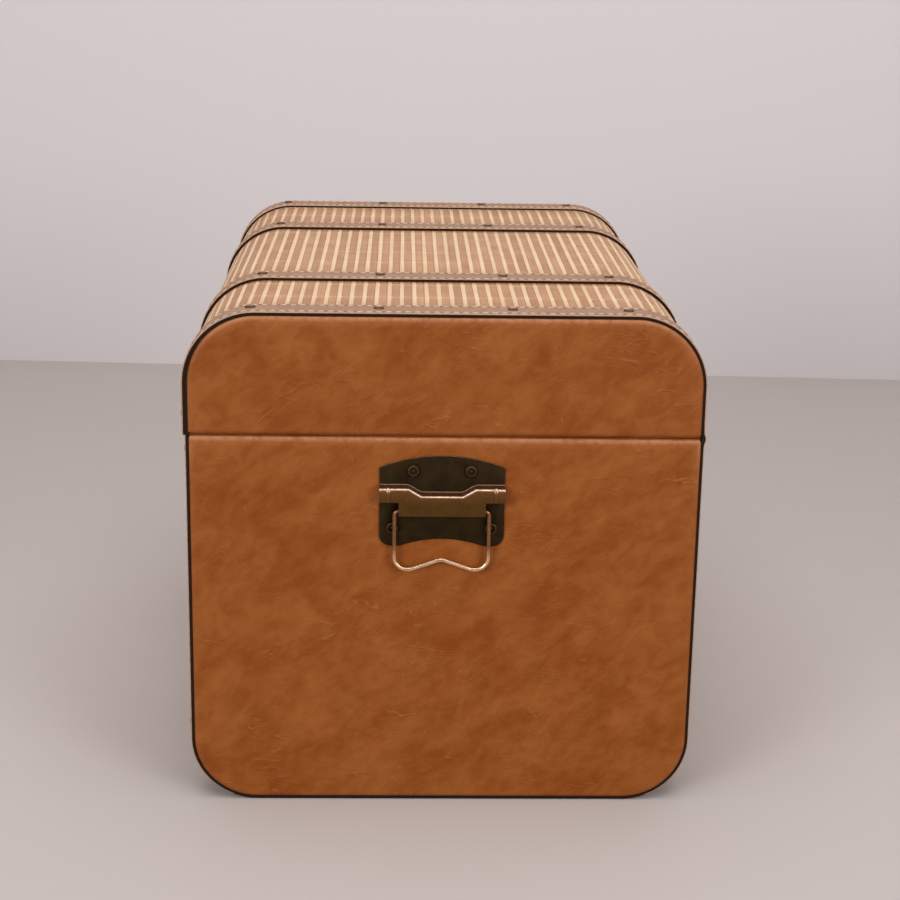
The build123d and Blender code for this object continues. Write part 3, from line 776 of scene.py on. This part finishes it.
matLook = {
    "paleWidth": 0.0038,
    "brownWidth": 0.0061,
    "lidFirst": 0.0071,
    "groove": 0.0005,
    "grooveDepth": 0.00045,
    "crown": 0.00016,
    "uneven": 0.00012,
    "wander": 0.00012,
    "skew": -0.0057,
    "shadeByBandsReach": 0.0060,
    "threadEvery": 0.052,
    "threadMiddle": 0.004,
    "threadRadius": 0.00026,
    "threadWide": 1.6,
    "threadDip": (0.00028, 0.00012, 0.00028),  # depth at a slat's first edge, middle and last edge
    "halfLength": 0.2835,
    "thickness": 0.002,
}


def makeMat(name, node, route, mirrored, seed):
    # Slats lie side by side along the route. Every slat's edge wanders a little from thread to thread,
    # its top is crowned by crown * (2 * share - 1)^2, and a groove lies between neighbours.
    look, chance, total = matLook, np.random.default_rng(seed), routeLength(route)
    onLid, body, flip = node == "lid_mat", node.split("_")[0], [1, -1 if mirrored else 1, 1]
    pitch = look["paleWidth"] + look["brownWidth"]
    pairs = np.arange(int(total / pitch) + 1) * pitch + (look["lidFirst"] if onLid else look["brownWidth"])
    edges = np.sort(np.concatenate([pairs, pairs + look["paleWidth"]]))
    edges = np.concatenate([[0.0], edges[edges < total - 0.0012], [total]])
    slats, half = len(edges) - 1, look["halfLength"]
    threads = np.arange(-5, 6) * look["threadEvery"] + look["threadMiddle"]
    bandEdges = np.array(trunk["bandCentres"])[:, None] + np.array([-1, 1]) * trunk["bandWidth"] / 2
    nearBands = (bandEdges[..., None] + np.array([-0.006, -0.002, 0.0, 0.002, 0.006])).ravel()
    columns = np.concatenate([threads, nearBands, np.linspace(-1, 1, 9) * half])
    columns = np.unique(np.round(np.clip(columns, -half, half), 4))
    knots = np.concatenate([[-half], threads, [half]])
    shift = chance.normal(0, look["wander"], (slats + 1, len(knots)))
    shift += look["skew"] * knots if onLid else 0
    shift[[0, -1]] = 0
    spread = np.stack([np.interp(columns, knots, unit) for unit in np.eye(len(knots))])
    lines = edges[:, None] + shift @ spread
    low, high = lines[:-1] + look["groove"] / 2, lines[1:] - look["groove"] / 2
    share = np.array([0, 0.1, 0.5, 0.9, 1])[None, :, None]
    tops = low[:, None] + (high - low)[:, None] * share
    crowned = look["crown"] * (2 * share - 1) ** 2 + 0 * tops
    distance = np.concatenate([tops, lines[1:, None]], axis=1).reshape(-1, len(columns))
    depth = np.concatenate([crowned, np.full((slats, 1, len(columns)), look["grooveDepth"])], axis=1)
    depth = (depth + chance.uniform(0, look["uneven"], (slats, 1, 1))).reshape(-1, len(columns))
    distance, depth = np.vstack([lines[:1], distance]), np.vstack([depth[:1], depth])
    distance[-1], depth[-1] = total, look["crown"]
    under = np.full((len(distance), 1), look["thickness"] * 0.97)
    distance = np.hstack([distance, distance[:, -1:], distance[:, :1]])
    x = np.concatenate([columns, columns[-1:], columns[:1]])
    grid = routeGrid(route, distance, x[None], np.hstack([depth, under, under]))
    perRow = {
        "slatTone": np.repeat(chance.uniform(0, 1, slats), 6),
        "pale": np.repeat(np.arange(slats) % 2, 6),
        "groove": np.tile([0, 0, 0, 0, 0, 1], slats),
    }
    values = {label: np.append(row[:1], row)[:, None] for label, row in perRow.items()}
    # Painted shade: the slats darken towards each band's edges
    reach = np.min(np.abs(x[:, None] - bandEdges.ravel()[None]), axis=1)
    values["shadeByBands"] = np.exp(-reach / look["shadeByBandsReach"])[None]
    buildPiece(name, grid * flip, "bamboo", body, node, values, 60)
    # Threads: tubes across the slats, riding over each crown and dipping at each groove
    steps = (edges[:-1, None] + np.diff(edges)[:, None] * [0.05, 0.5, 0.95]).ravel()
    dip = np.tile(look["threadDip"], slats)[None, :, None]
    angle, radius = np.linspace(0, 2 * pi, 6, endpoint=False), look["threadRadius"]
    threadX = threads[:, None, None] + look["threadWide"] * radius * np.cos(angle)
    grid = routeGrid(route, steps[None, :, None], threadX, dip + radius * np.sin(angle))
    overPale = np.repeat(np.arange(slats) % 2, 3)[None, :, None]
    buildPiece(name + "Threads", grid * flip, "matThread", body, values={"pale": overPale}, sharp=80)


matInset = trunk["bandThickness"]
baseMatStart = (baseRadius - trunk["halfDepth"], matInset)
baseMatRoute = makeRoute(baseMatStart, pi, baseRadius - matInset, 0.0, baseRise)
makeMat("lidMat", "lid_mat", lidRoute(matInset), False, 5)
makeMat("baseFrontMat", "base_front_mat", baseMatRoute, False, 6)
makeMat("baseBackMat", "base_back_mat", baseMatRoute, True, 7)
print("trunk: matting made")

bandLook = {
    "stitchPitch": 0.0073,
    "stitchLength": 0.0052,
    "stitchRow": 0.0110,
    "stitchWide": 0.00060,
    "stitchForm": (0.00058, 0.00030, 0.00035),  # depth of a stitch's ends, rise to its middle, half height
    "pucker": 0.00032,
    "puckerRow": (0.0030, 0.0024),  # in from the edge, and how wide
    "holeRow": (0.0034, 0.0016),
    "edgeWear": (0.0022, 0.0005),
    "faceHalf": 0.015,  # half the face: the flat middle and a stitched edge
    "flat": 0.009,
    "stitched": 0.006,
    "rim": {"lid": 0.0012, "base": 0.0010, "inner": 0.0008},
    "bridge": 0.012,
    "bridgeBulge": 0.0013,
    "bulgeReach": 0.0036,
    # The gap strips, painted near black as the shade between band and pad
    "gapShadeX": (0.2836, 0.2862),
    "gapShadeDepth": (0.0029, 0.0036),
    "gapShadeFront": 0.0017,
    "gapShadeFade": (0.036, 0.085),
}
# Half of the band's outer face, from the middle to the edge: (from the middle, depth), in millimetres
bandFace = np.array([(0, 0.08), (4, 0.10), (8, 0.18), (9.6, 0.34), (10.4, 0.50), (11.0, 0.56), (11.6, 0.50),
                     (12.3, 0.36), (13.4, 0.28), (14.3, 0.31), (14.8, 0.46), (15.0, 0.68)]) / 1000
bridgeStart = (trunk["halfDepth"], trunk["seam"] + bandLook["bridge"])
bridgeRoute = makeRoute(bridgeStart, -pi / 2, 0.0, 2 * bandLook["bridge"])


def strapSection(halfWidth, rim):
    # The section as a closed loop: face from one edge to the other, down to the rim's depth, then the
    # cut sides and the back. Other widths keep the stitched edge and change only the flat middle.
    flat, stitched, half = bandLook["flat"], bandLook["stitched"], bandLook["faceHalf"]
    face = np.vstack([bandFace, (half, rim)])
    off = face[:, 0]
    face[:, 0] = np.where(off > flat, off + halfWidth - half, off * (halfWidth - stitched) / flat)
    side = np.array([(halfWidth, rim + 0.00008), (halfWidth - 0.00002, 0.0029), (halfWidth - 0.0002, 0.0030),
                     (halfWidth - 0.0015, 0.0030)])
    loop = np.vstack([face[:0:-1] * [-1, 1], face, side, side[::-1] * [-1, 1]])
    front = np.arange(len(loop)) < 2 * len(face) - 1
    cut = np.concatenate([np.zeros(2 * len(face) - 1), (1, 1, 1, 0, 0, 1, 1, 1)])
    (inner, outer), (inside, wide) = bandLook["edgeWear"], bandLook["puckerRow"]
    edge = smoothStep(halfWidth - inner, halfWidth - outer, np.abs(loop[:, 0])) * front
    row = np.exp(-((np.abs(loop[:, 0]) - halfWidth + inside) / wide) ** 2) * front
    return loop, cut, edge, row


def stitchGap(distance):
    # 1 between two stitches, 0 at the middle of one
    return 0.5 + 0.5 * np.cos(2 * pi * distance / bandLook["stitchPitch"])


def strapValues(distance, loop, cut, edge):
    # This value marks the needle holes, on both rows, between the stitches, which are painted dark: painted
    # shade for holes that the surface doesn't have
    inside, wide = bandLook["holeRow"]
    rows = np.exp(-((np.abs(loop[:, 0]) - np.abs(loop[:, 0]).max() + inside) / wide) ** 2) * (1 - cut)
    return {"cut": cut[None], "edge": edge[None], "hole": stitchGap(distance)[:, None] ** 5 * rows[None]}


def strapGrid(route, distance, centre, loop, row, bulge=0.0, width=1.0):
    # Depth = section depth + pucker * wave of the stitch pitch, strongest beside the stitches, - bulge
    pucker = bandLook["pucker"] * stitchGap(distance)[:, None] * row[None]
    depth = loop[None, :, 1] + pucker - np.reshape(bulge, (-1, 1))
    x = centre + loop[None, :, 0] * np.reshape(width, (-1, 1))
    return routeGrid(route, distance[:, None], x, depth)


def stitchGrid(route, start, end, centres, halfWidth, lift=lambda distance: 0.0):
    # Each stitch is a flattened bead: half width and height follow the root of sin along its length
    pitch, length = bandLook["stitchPitch"], bandLook["stitchLength"]
    off = halfWidth - bandLook["faceHalf"] + bandLook["stitchRow"]
    rows = np.array([centre + side * off for centre in centres for side in (-1, 1)])
    middles = np.arange(np.ceil(start / pitch - 0.5), np.floor(end / pitch - 0.5) + 1) + 0.5
    middles = middles[(middles * pitch - length / 2 > start) & (middles * pitch + length / 2 < end)] * pitch
    share = np.linspace(0.06, 0.94, 5)
    fat = (np.sin(pi * share) ** 0.5)[:, None]
    angle = np.linspace(0, 2 * pi, 6, endpoint=False)
    distance = middles[None, :, None, None] + (share[None, None, :, None] - 0.5) * length
    x = rows[:, None, None, None] + bandLook["stitchWide"] * fat * np.cos(angle)
    low, rise, thick = bandLook["stitchForm"]
    depth = low - rise * fat + thick * fat * np.sin(angle)
    grid = routeGrid(route, distance, x, depth[None, None] - lift(distance))
    return grid.reshape(-1, len(share), len(angle), 3)


def bulgeAt(distance):
    away = (distance - bandLook["bridge"]) / bandLook["bulgeReach"]
    return bandLook["bridgeBulge"] * np.exp(-away ** 2)


def bendOverSeam(piece):
    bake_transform(piece)


def makeBands():
    half, centres = trunk["bandWidth"] / 2, trunk["bandCentres"]
    step, bridgeLength = bandLook["stitchPitch"] / 8, 2 * bandLook["bridge"]
    short = bandLook["bridge"] - trunk["seamGap"] / 2
    spans = {
        "lid": (outerRoutes["lid"], 0.0, routeLength(outerRoutes["lid"]) - short),
        "base": (outerRoutes["base"], short, routeLength(outerRoutes["base"])),
    }
    bridgeDistance = np.linspace(0, bridgeLength, 41)
    for number, centre in enumerate(centres, 1):
        for body, (route, start, end) in spans.items():
            rim = bandLook["rim"][body if number in (1, 4) else "inner"]
            loop, cut, edge, row = strapSection(half, rim)
            distance = np.linspace(start, end, int((end - start) / step))
            grid = strapGrid(route, distance, centre, loop, row)
            values = strapValues(distance, loop, cut, edge)
            onSide = np.abs(loop[:, 0]) > half - 0.0004
            # Near the floor the band's sides go near black as well: a painted contact shadow
            values["cut"] = np.maximum(cut[None], smoothStep(0.006, 0.003, grid[..., 2]) * onSide[None])
            buildPiece(f"{body}Band_{number}", grid, "taupe", body, f"{body}_band_{number}", values, 55)
        grid = strapGrid(bridgeRoute, bridgeDistance, centre, loop, row, bulgeAt(bridgeDistance))
        values = strapValues(bridgeDistance, loop, cut, edge)
        bendOverSeam(buildPiece(f"backBridge_{number}", grid, "taupe", values=values, sharp=55))
    for body, (route, start, end) in spans.items():
        buildPiece(f"{body}Stitches", stitchGrid(route, start, end, centres, half), "stitch", body, sharp=80)
    grid = stitchGrid(bridgeRoute, 0.0, bridgeLength, centres, half, bulgeAt)
    bendOverSeam(buildPiece("bridgeStitches", grid, "stitch", sharp=80))


def makeGapShades():
    # Dark strips in the gap between the end bands and the pads, painted near black as the shade in that gap.
    # They are deepest at the lid's front, where the lid stands out over the base.
    (near, far), (top, under) = bandLook["gapShadeX"], bandLook["gapShadeDepth"]
    for body, route in outerRoutes.items():
        distance = np.linspace(0, routeLength(route), 220)[:, None]
        more = bandLook["gapShadeFront"] * (1 - smoothStep(*bandLook["gapShadeFade"], distance)) if body == "lid" else 0.0
        depth = np.array([top, top, under, under]) + more * np.array([0, 0, 1, 1])
        grid = routeGrid(route, distance, [near, far, far, near], depth)
        for side, sign in sides.items():
            buildPiece(f"{body}GapShade_{side}", grid * [sign, 1, 1], "taupe", body, values={"cut": 1.0}, sharp=30)


makeBands()
makeGapShades()
print("trunk: girth bands made")

tabLook = {
    "top": 0.350,
    "fold": 0.309,
    "foldReach": 0.005,
    "low": 0.266,
    "halfWidth": 0.018,
    "endRadius": 0.014,
    "rim": 0.0008,
}


def makeTab():
    look, front = tabLook, trunk["lidFront"]
    loop, cut, edge, row = strapSection(look["halfWidth"], look["rim"])
    length, radius = look["top"] - look["low"], look["endRadius"]
    route = makeRoute((front, look["low"]), pi / 2, 0.0, length)
    bend = radius * (1 - np.cos(np.linspace(0.12, pi / 2, 16)))
    distance = np.concatenate([bend, np.arange(radius + 0.0008, length, 0.0009), [length]])
    left = np.clip(radius - distance, 0, None)
    width = look["halfWidth"] - radius + np.sqrt(radius ** 2 - left ** 2)
    grid = strapGrid(route, distance, 0.0, loop, row, 0.0, width / look["halfWidth"])
    values = strapValues(distance, loop, cut, edge)
    tab = buildPiece("closingTab", grid, "taupe", None, "closing_tab tab_root", values, 55)
    grid = stitchGrid(route, radius, length - 0.002, (0.0,), look["halfWidth"])
    for piece in (tab, buildPiece("tabStitches", grid, "stitch", sharp=80)):
        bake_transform(piece)


makeTab()

# Profiles are (radius, height) in millimetres, with each point's value for wear and painted highlight
fastenerLook = {
    "nail": (0.0041, 0.0017),
    "seamNails": 0.014,
    "lowNails": 0.062,
    "topNails": (-0.1495, -0.052, 0.050, 0.1385),
    "tabNails": (0.009, 0.337),
    "screwAt": ((0.0223, 0.2778), (0.0385, 0.2318)),
    "screwX": 0.289,
    "screw": [(5.0, 0.0), (5.0, 0.45), (4.75, 1.2), (4.3, 1.8), (3.75, 2.15), (3.25, 2.15), (2.85, 1.85),
              (2.65, 1.2), (2.5, 0.55), (1.9, 0.35), (1.3, 0.4), (1.0, 0.75), (0.6, 0.9)],
    "screwWear": (0, 0, 0.04, 0.1, 0.12, 0.08, 0, 0, 0, 0, 0, 0.05, 0.1),
    "hingeScrew": (0.003, 0.001),
    "hingeScrewAt": (0.20175, 0.021, 0.0155),  # the hinge's middle, and the screws' steps along and up
    "hingeScrewY": 0.1984,
    "catchHeight": 0.284,
    "cap": [(7.0, 0.0), (7.0, 0.5), (6.7, 0.95), (6.2, 1.1), (5.8, 0.95), (5.5, 1.05), (4.6, 1.6), (3.2, 2.1),
            (1.6, 2.35), (0.5, 2.4)],
    "capWear": (0.3, 0.4, 0.9, 1, 0.1, 0.1, 0.2, 0.4, 0.6, 0.7),
}


def domeProfile(radius, height, rings=7):
    # Rim of a fifth of the height, then a circle's arc to the top
    angle = np.linspace(0, pi / 2 - 0.12, rings)
    arc = np.stack([radius * np.cos(angle), height * (0.2 + 0.8 * np.sin(angle))], axis=-1)
    return np.vstack([[(radius, 0.0)], arc])


def turnedPiece(name, nodes, body, look, profile, wearAndSheen, places, axes, around=24):
    # Every fastener in a piece has the same profile
    grid, values = turnedGrid(profile, places, axes, around), {"wearAndSheen": np.asarray(wearAndSheen)[:, None]}
    buildPiece(name, grid, look, body, nodes, values)


def makeNails():
    look, front, back, top = fastenerLook, trunk["lidFront"], trunk["halfDepth"], trunk["height"]
    high, low = trunk["seam"] + look["seamNails"], trunk["seam"] - look["seamNails"]
    lid, base = [], []
    for x in trunk["bandCentres"]:
        lid += [((x, y, top), (0, 0, 1)) for y in look["topNails"]]
        lid += [((x, front, high), (0, -1, 0)), ((x, back, high), (0, 1, 0))]
        for z in (look["lowNails"], low):
            base += [((x, -back, z), (0, -1, 0)), ((x, back, z), (0, 1, 0))]
    across, up = look["tabNails"]
    lid += [((side * across, front, up), (0, -1, 0)) for side in (-1, 1)]
    profile = domeProfile(*look["nail"])
    # The dome's top lighter: a painted highlight
    crown = smoothStep(0.7, 1.05, profile[:, 1] / look["nail"][1])
    for body, nails in (("lid", lid), ("base", base)):
        places, axes = (np.array(part) for part in zip(*nails))
        places = places + axes * -0.0001
        turnedPiece(f"{body}Nails", f"{body}_nails", body, "bronze", profile, crown, places, axes)


def makeScrews():
    # Handle screws: a rolled ring round a sunk middle. Hinge screws: low domes.
    look, places, axes = fastenerLook, [], []
    for side in (-1, 1):
        for across, z in look["screwAt"]:
            places += [(side * look["screwX"], trunk["handleAcross"] + step * across, z) for step in (-1, 1)]
            axes += [(side, 0, 0)] * 2
    ring, wearAndSheen = np.array(look["screw"]) / 1000, look["screwWear"]
    turnedPiece("handleScrews", "handle_screws", "base", "plate", ring, wearAndSheen, places, axes)
    profile = domeProfile(*look["hingeScrew"], 6)
    crown = smoothStep(0.2, 1.0, profile[:, 1] / look["hingeScrew"][1])
    middle, along, up = look["hingeScrewAt"]
    x = np.array([side * middle + step * along for side in (-1, 1) for step in (-1, 0, 1)])
    for body, z in (("base", trunk["seam"] - up), ("lid", trunk["seam"] + up)):
        places = np.stack([x, np.full(6, look["hingeScrewY"]), np.full(6, z)], axis=-1)
        name, node, axes = f"hinge{body.title()}Screws", f"hinge_{body}_screws", [(0.0, 1.0, 0.0)] * 6
        turnedPiece(name, node, body, "brass", profile, crown, places, axes, 18)


def makeCatch():
    look = fastenerLook
    cap, wearAndSheen = np.array(look["cap"]) / 1000, look["capWear"]
    places, axes = [(0, trunk["lidFront"], look["catchHeight"])], [(0, -1, 0)]
    turnedPiece("catchCap", "catch_cap", "closing_tab", "bronze", cap, wearAndSheen, places, axes, 36)


makeNails()
makeScrews()
makeCatch()
print("trunk: nails, screws and catch made")

handleLook = {
    "plateFace": 0.289,
    "hoodRise": 0.0105,
    "crestRadius": 0.003,
    "hoodTop": 0.2665,
    "dip": 0.0059,
    "ribAcross": 0.0415,
    "ribHalfWidth": 0.0016,
    "ribHeight": 0.0006,
    "ribFace": 0.0078,
    "ribSheen": (0.0098, 0.0022),  # along the rib, and how far it reaches
    "crestSheen": (0.35, 0.6, 0.7, 0.92),  # normals' height where the painted highlight starts, is full, ends and is gone
    "lipRadius": 0.0005,
    "lipCorners": (0.0482, 0.026, 0.016),
    "lipBend": 0.008,
    "bailX": 0.2935,
    "bailPivot": 0.2468,
    "bailHalf": 0.0366,
    "bailTail": 0.0243,
    "bailLowest": 0.1992,
    "bailSlope": radians(19.4),
    "bailCorner": 0.0106,
    "bailHook": 0.0032,
    "gripBend": 0.010,
    "bailWearAndSheen": (0.205, 0.22),
    "wire": 0.0017,
}


def bailPath():
    # Both hooked ends, the two legs, and the grip that rises to its middle
    look = handleLook
    slope, half, corner, pivot = look["bailSlope"], look["bailHalf"], look["bailCorner"], look["bailPivot"]
    touchY = half - corner - corner * sin(slope)
    touchZ = look["bailLowest"] + corner * (1 - cos(slope))
    cornerZ = touchZ - (half - touchY) * tan(slope)
    peakZ = touchZ + touchY * tan(slope)
    leg = [(look["bailTail"], pivot), (half, pivot), (half, cornerZ)]
    points = [*((-y, z) for y, z in leg), (0, peakZ), *leg[::-1]]
    return filletPath(points, (look["bailHook"], corner, look["gripBend"], corner, look["bailHook"]), 0.0008)


def flangePath():
    # Where the hood's top wall meets the plate, dipped in the middle
    look = handleLook
    top = look["hoodTop"] + 0.0003
    end, high, low = look["lipCorners"]
    half = [(end, top), (high, top), (low, top - look["dip"])]
    return filletPath([*((-y, z) for y, z in half), *half[::-1]], [look["lipBend"]] * 4, 0.0008)


def onEnd(sign, x, y, z):
    # X is out from the trunk's middle, and y from the handle's
    return np.stack(np.broadcast_arrays(sign * x, y + trunk["handleAcross"], z), axis=-1)


def makeHandles():
    look, bail, lip = handleLook, bailPath(), flangePath()
    rib = makeRoute((look["plateFace"], look["hoodTop"]), 0.0, look["crestRadius"],
                    look["hoodRise"] - look["crestRadius"], look["ribFace"])
    reach = np.linspace(0, routeLength(rib), 34)
    ribX, ribZ = walkRoute(rib, reach, look["ribHeight"] * 0.4)
    half = look["ribHalfWidth"]
    (ribMiddle, ribReach), (start, full, end, gone) = look["ribSheen"], look["crestSheen"]
    # The crest test: faces whose normals lean up get a painted highlight
    crest = lambda normals: smoothStep(start, full, normals[:, 2]) * (1 - smoothStep(end, gone, normals[:, 2]))
    for side, sign in sides.items():
        pressedCopy(f"handlePlate_{side}", f"handle_plate_{side}", "plate", "base", 0.0004)
        pressedCopy(f"handleHood_{side}", f"handle_hood_{side}", "brass", "base", 0.00035, crest)
        path = onEnd(sign, look["bailX"], *bail.T)
        # Lighter towards the grip: worn there, and a painted highlight along it
        wearAndSheen = 0.1 + 0.8 * (1 - smoothStep(*look["bailWearAndSheen"], path[:, 2]))[:, None]
        buildPiece(f"handleBail_{side}", tubeGrid(path, look["wire"], (1, 0, 0), 14), "wire", f"bail_{side}",
                   f"handle_bail_{side}", {"wearAndSheen": wearAndSheen}, 80)
        # Pressed ribs by the ears' ends: up the top wall, round the crest and down the face
        # Each rib lighter round the crest: a painted highlight
        wearAndSheen = np.exp(-((reach - ribMiddle) / ribReach) ** 2)[:, None]
        for number, step in enumerate((-1, 1)):
            path = onEnd(sign, ribX, step * look["ribAcross"], ribZ)
            grid = tubeGrid(path, half, (0, 1, 0), 16, look["ribHeight"] / half)
            buildPiece(f"hoodRib_{side}_{number}", grid, "brass", "base", values={"wearAndSheen": wearAndSheen}, sharp=80)
        grid = tubeGrid(onEnd(sign, look["plateFace"] + 0.0003, *lip.T), look["lipRadius"], (1, 0, 0), 8)
        # The flange lighter all along: a painted highlight on its edge
        buildPiece(f"hoodFlange_{side}", grid, "brass", "base", values={"wearAndSheen": 0.4}, sharp=80)


def makeHinges():
    for side in sides:
        for body in ("base", "lid"):
            leaf = pressedCopy(f"hinge{body.title()}Leaf_{side}", f"hinge_{body}_leaf_{side}", "brass", body)
            leaf.modifiers.new("evenNormals", "WEIGHTED_NORMAL").keep_sharp = True
        pressedCopy(f"hingePin_{side}", f"hinge_pin_{side}", "brass", "base", 0.0003)
    pressedCopy("catchStrike", "catch_strike", "brass", "base")


makeHandles()
makeHinges()
print("trunk: handles and hinges made")

# Nodes that keep their own shape
boards = [f"{body}_end_board_{side}" for body in ("base", "lid") for side in sides]
keptNodes = {
    "caramel": ("base_rim", "lid_rim"),
    "lining": ("base_lining", "lid_lining"),
    "felt": ("base_bottom_cloth",),
    "ply": ("base_shell", "lid_shell", *boards),
}
for look, nodes in keptNodes.items():
    for node in nodes:
        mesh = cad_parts[node].data
        mesh.materials.clear()
        mesh.materials.append(looks[look][0])
print("trunk: kept nodes dressed")

stageLook = {
    "floor": (0.56, 0.50, 0.475),
    "wall": (0.80, 0.760, 0.775),
    "bounce": (0.225, 0.128, 0.082),
    "halfSize": 6.0,
    "wallAt": -1.22,
    "wallTurn": radians(3.1),
    "worldStrength": 0.25,
    "world": (1.0, 0.985, 0.97),
}
lamps = {
    "top": {"place": (0.5, 0.0, 2.3), "aim": (0.1, 0.0, 0.2), "size": 2.2, "watts": 29},
    "leftBox": {"place": (2.6, -1.9, 1.3), "aim": (0.2, 0.0, 0.25), "size": 1.6, "watts": 43},
    "rightBox": {"place": (2.6, 1.9, 1.3), "aim": (0.2, 0.0, 0.25), "size": 1.6, "watts": 38.5},
}
cameraLook = {
    "place": (1.6804, -0.0429, 0.6883),
    "yaw": 0.0332,
    "pitch": 0.2755,
    "roll": -0.0175,
    "sensor": 36,
    "lens": 36 * 1886.5 / 900,
    "farthest": 60,
}


def makeStage():
    # A plain pale floor, and a pale wall behind the trunk, turned a little from square. The floor's soft
    # bounce is that of a brown one. Sheets are clear from behind, so the wall doesn't hide the back.
    look, half = stageLook, stageLook["halfSize"]
    left, right = (look["wallAt"] + y * tan(look["wallTurn"]) for y in (-half, half))
    sheets = {
        "floor": [(half, -half, 0), (half, half, 0), (-half, half, 0), (-half, -half, 0)],
        "wall": [(left, -half, 0), (right, half, 0), (right, half, half), (left, -half, half)],
    }
    for name, corners in sheets.items():
        mesh = bpy.data.meshes.new(name)
        mesh.from_pydata(corners, [], [(0, 1, 2, 3)])
        paint, _ = newMaterial(f"plain{name.title()}", Roughness=0.7, Specular_IOR_Level=0.3)
        baseColour = paint.shader.inputs["Base Color"]
        baseColour.default_value = (*look[name], 1)
        if name == "floor":
            ray = paint.add("LightPath")
            mirrored = paint.math("MAXIMUM", ray["Is Glossy Ray"], ray["Is Transmission Ray"])
            shown = paint.math("MAXIMUM", ray["Is Camera Ray"], mirrored)
            paint.put(paint.tinted(shown, look["bounce"], look[name]), baseColour)
        behind, clear = paint.add("NewGeometry")["Backfacing"], paint.add("BsdfTransparent")[0]
        seen = paint.add("MixShader", {0: behind, 1: paint.shader.outputs[0], 2: clear})[0]
        paint.put(seen, paint.tree.nodes["Material Output"].inputs["Surface"])
        mesh.materials.append(paint.material)
        placeObject(name, mesh)
    world = bpy.data.worlds.new("studio")
    world.use_nodes = True
    background = world.node_tree.nodes["Background"]
    background.inputs["Color"].default_value = (*look["world"], 1)
    background.inputs["Strength"].default_value = look["worldStrength"]
    bpy.context.scene.world = world


def makeLamps():
    for name, look in lamps.items():
        lamp = bpy.data.lights.new(name, "AREA")
        lamp.shape, lamp.size, lamp.energy = "DISK", look["size"], look["watts"]
        piece = placeObject(name, lamp)
        piece.location = look["place"]
        way = Vector(look["aim"]) - Vector(look["place"])
        piece.rotation_euler = way.to_track_quat("-Z", "Y").to_euler()


def makeCamera():
    # Forward, right and up worked out from yaw, pitch and roll, and put into the camera's matrix
    look = cameraLook
    yaw, pitch, roll = look["yaw"], look["pitch"], look["roll"]
    forward = Vector((-cos(yaw) * cos(pitch), sin(yaw) * cos(pitch), -sin(pitch)))
    level = Vector((sin(yaw), cos(yaw), 0))
    above = Vector((-cos(yaw) * sin(pitch), sin(yaw) * sin(pitch), cos(pitch)))
    right = cos(roll) * level - sin(roll) * above
    up = sin(roll) * level + cos(roll) * above
    camera = placeObject("camera", bpy.data.cameras.new("camera"))
    camera.data.sensor_width, camera.data.lens = look["sensor"], look["lens"]
    camera.data.clip_end = look["farthest"]
    turned = Matrix((right, up, -forward)).transposed().to_4x4()
    camera.matrix_world = Matrix.Translation(look["place"]) @ turned
    bpy.context.scene.camera = camera


makeStage()
makeLamps()
makeCamera()
bpy.context.scene.view_settings.view_transform = "Standard"
print("trunk: stage, lamps and camera set")
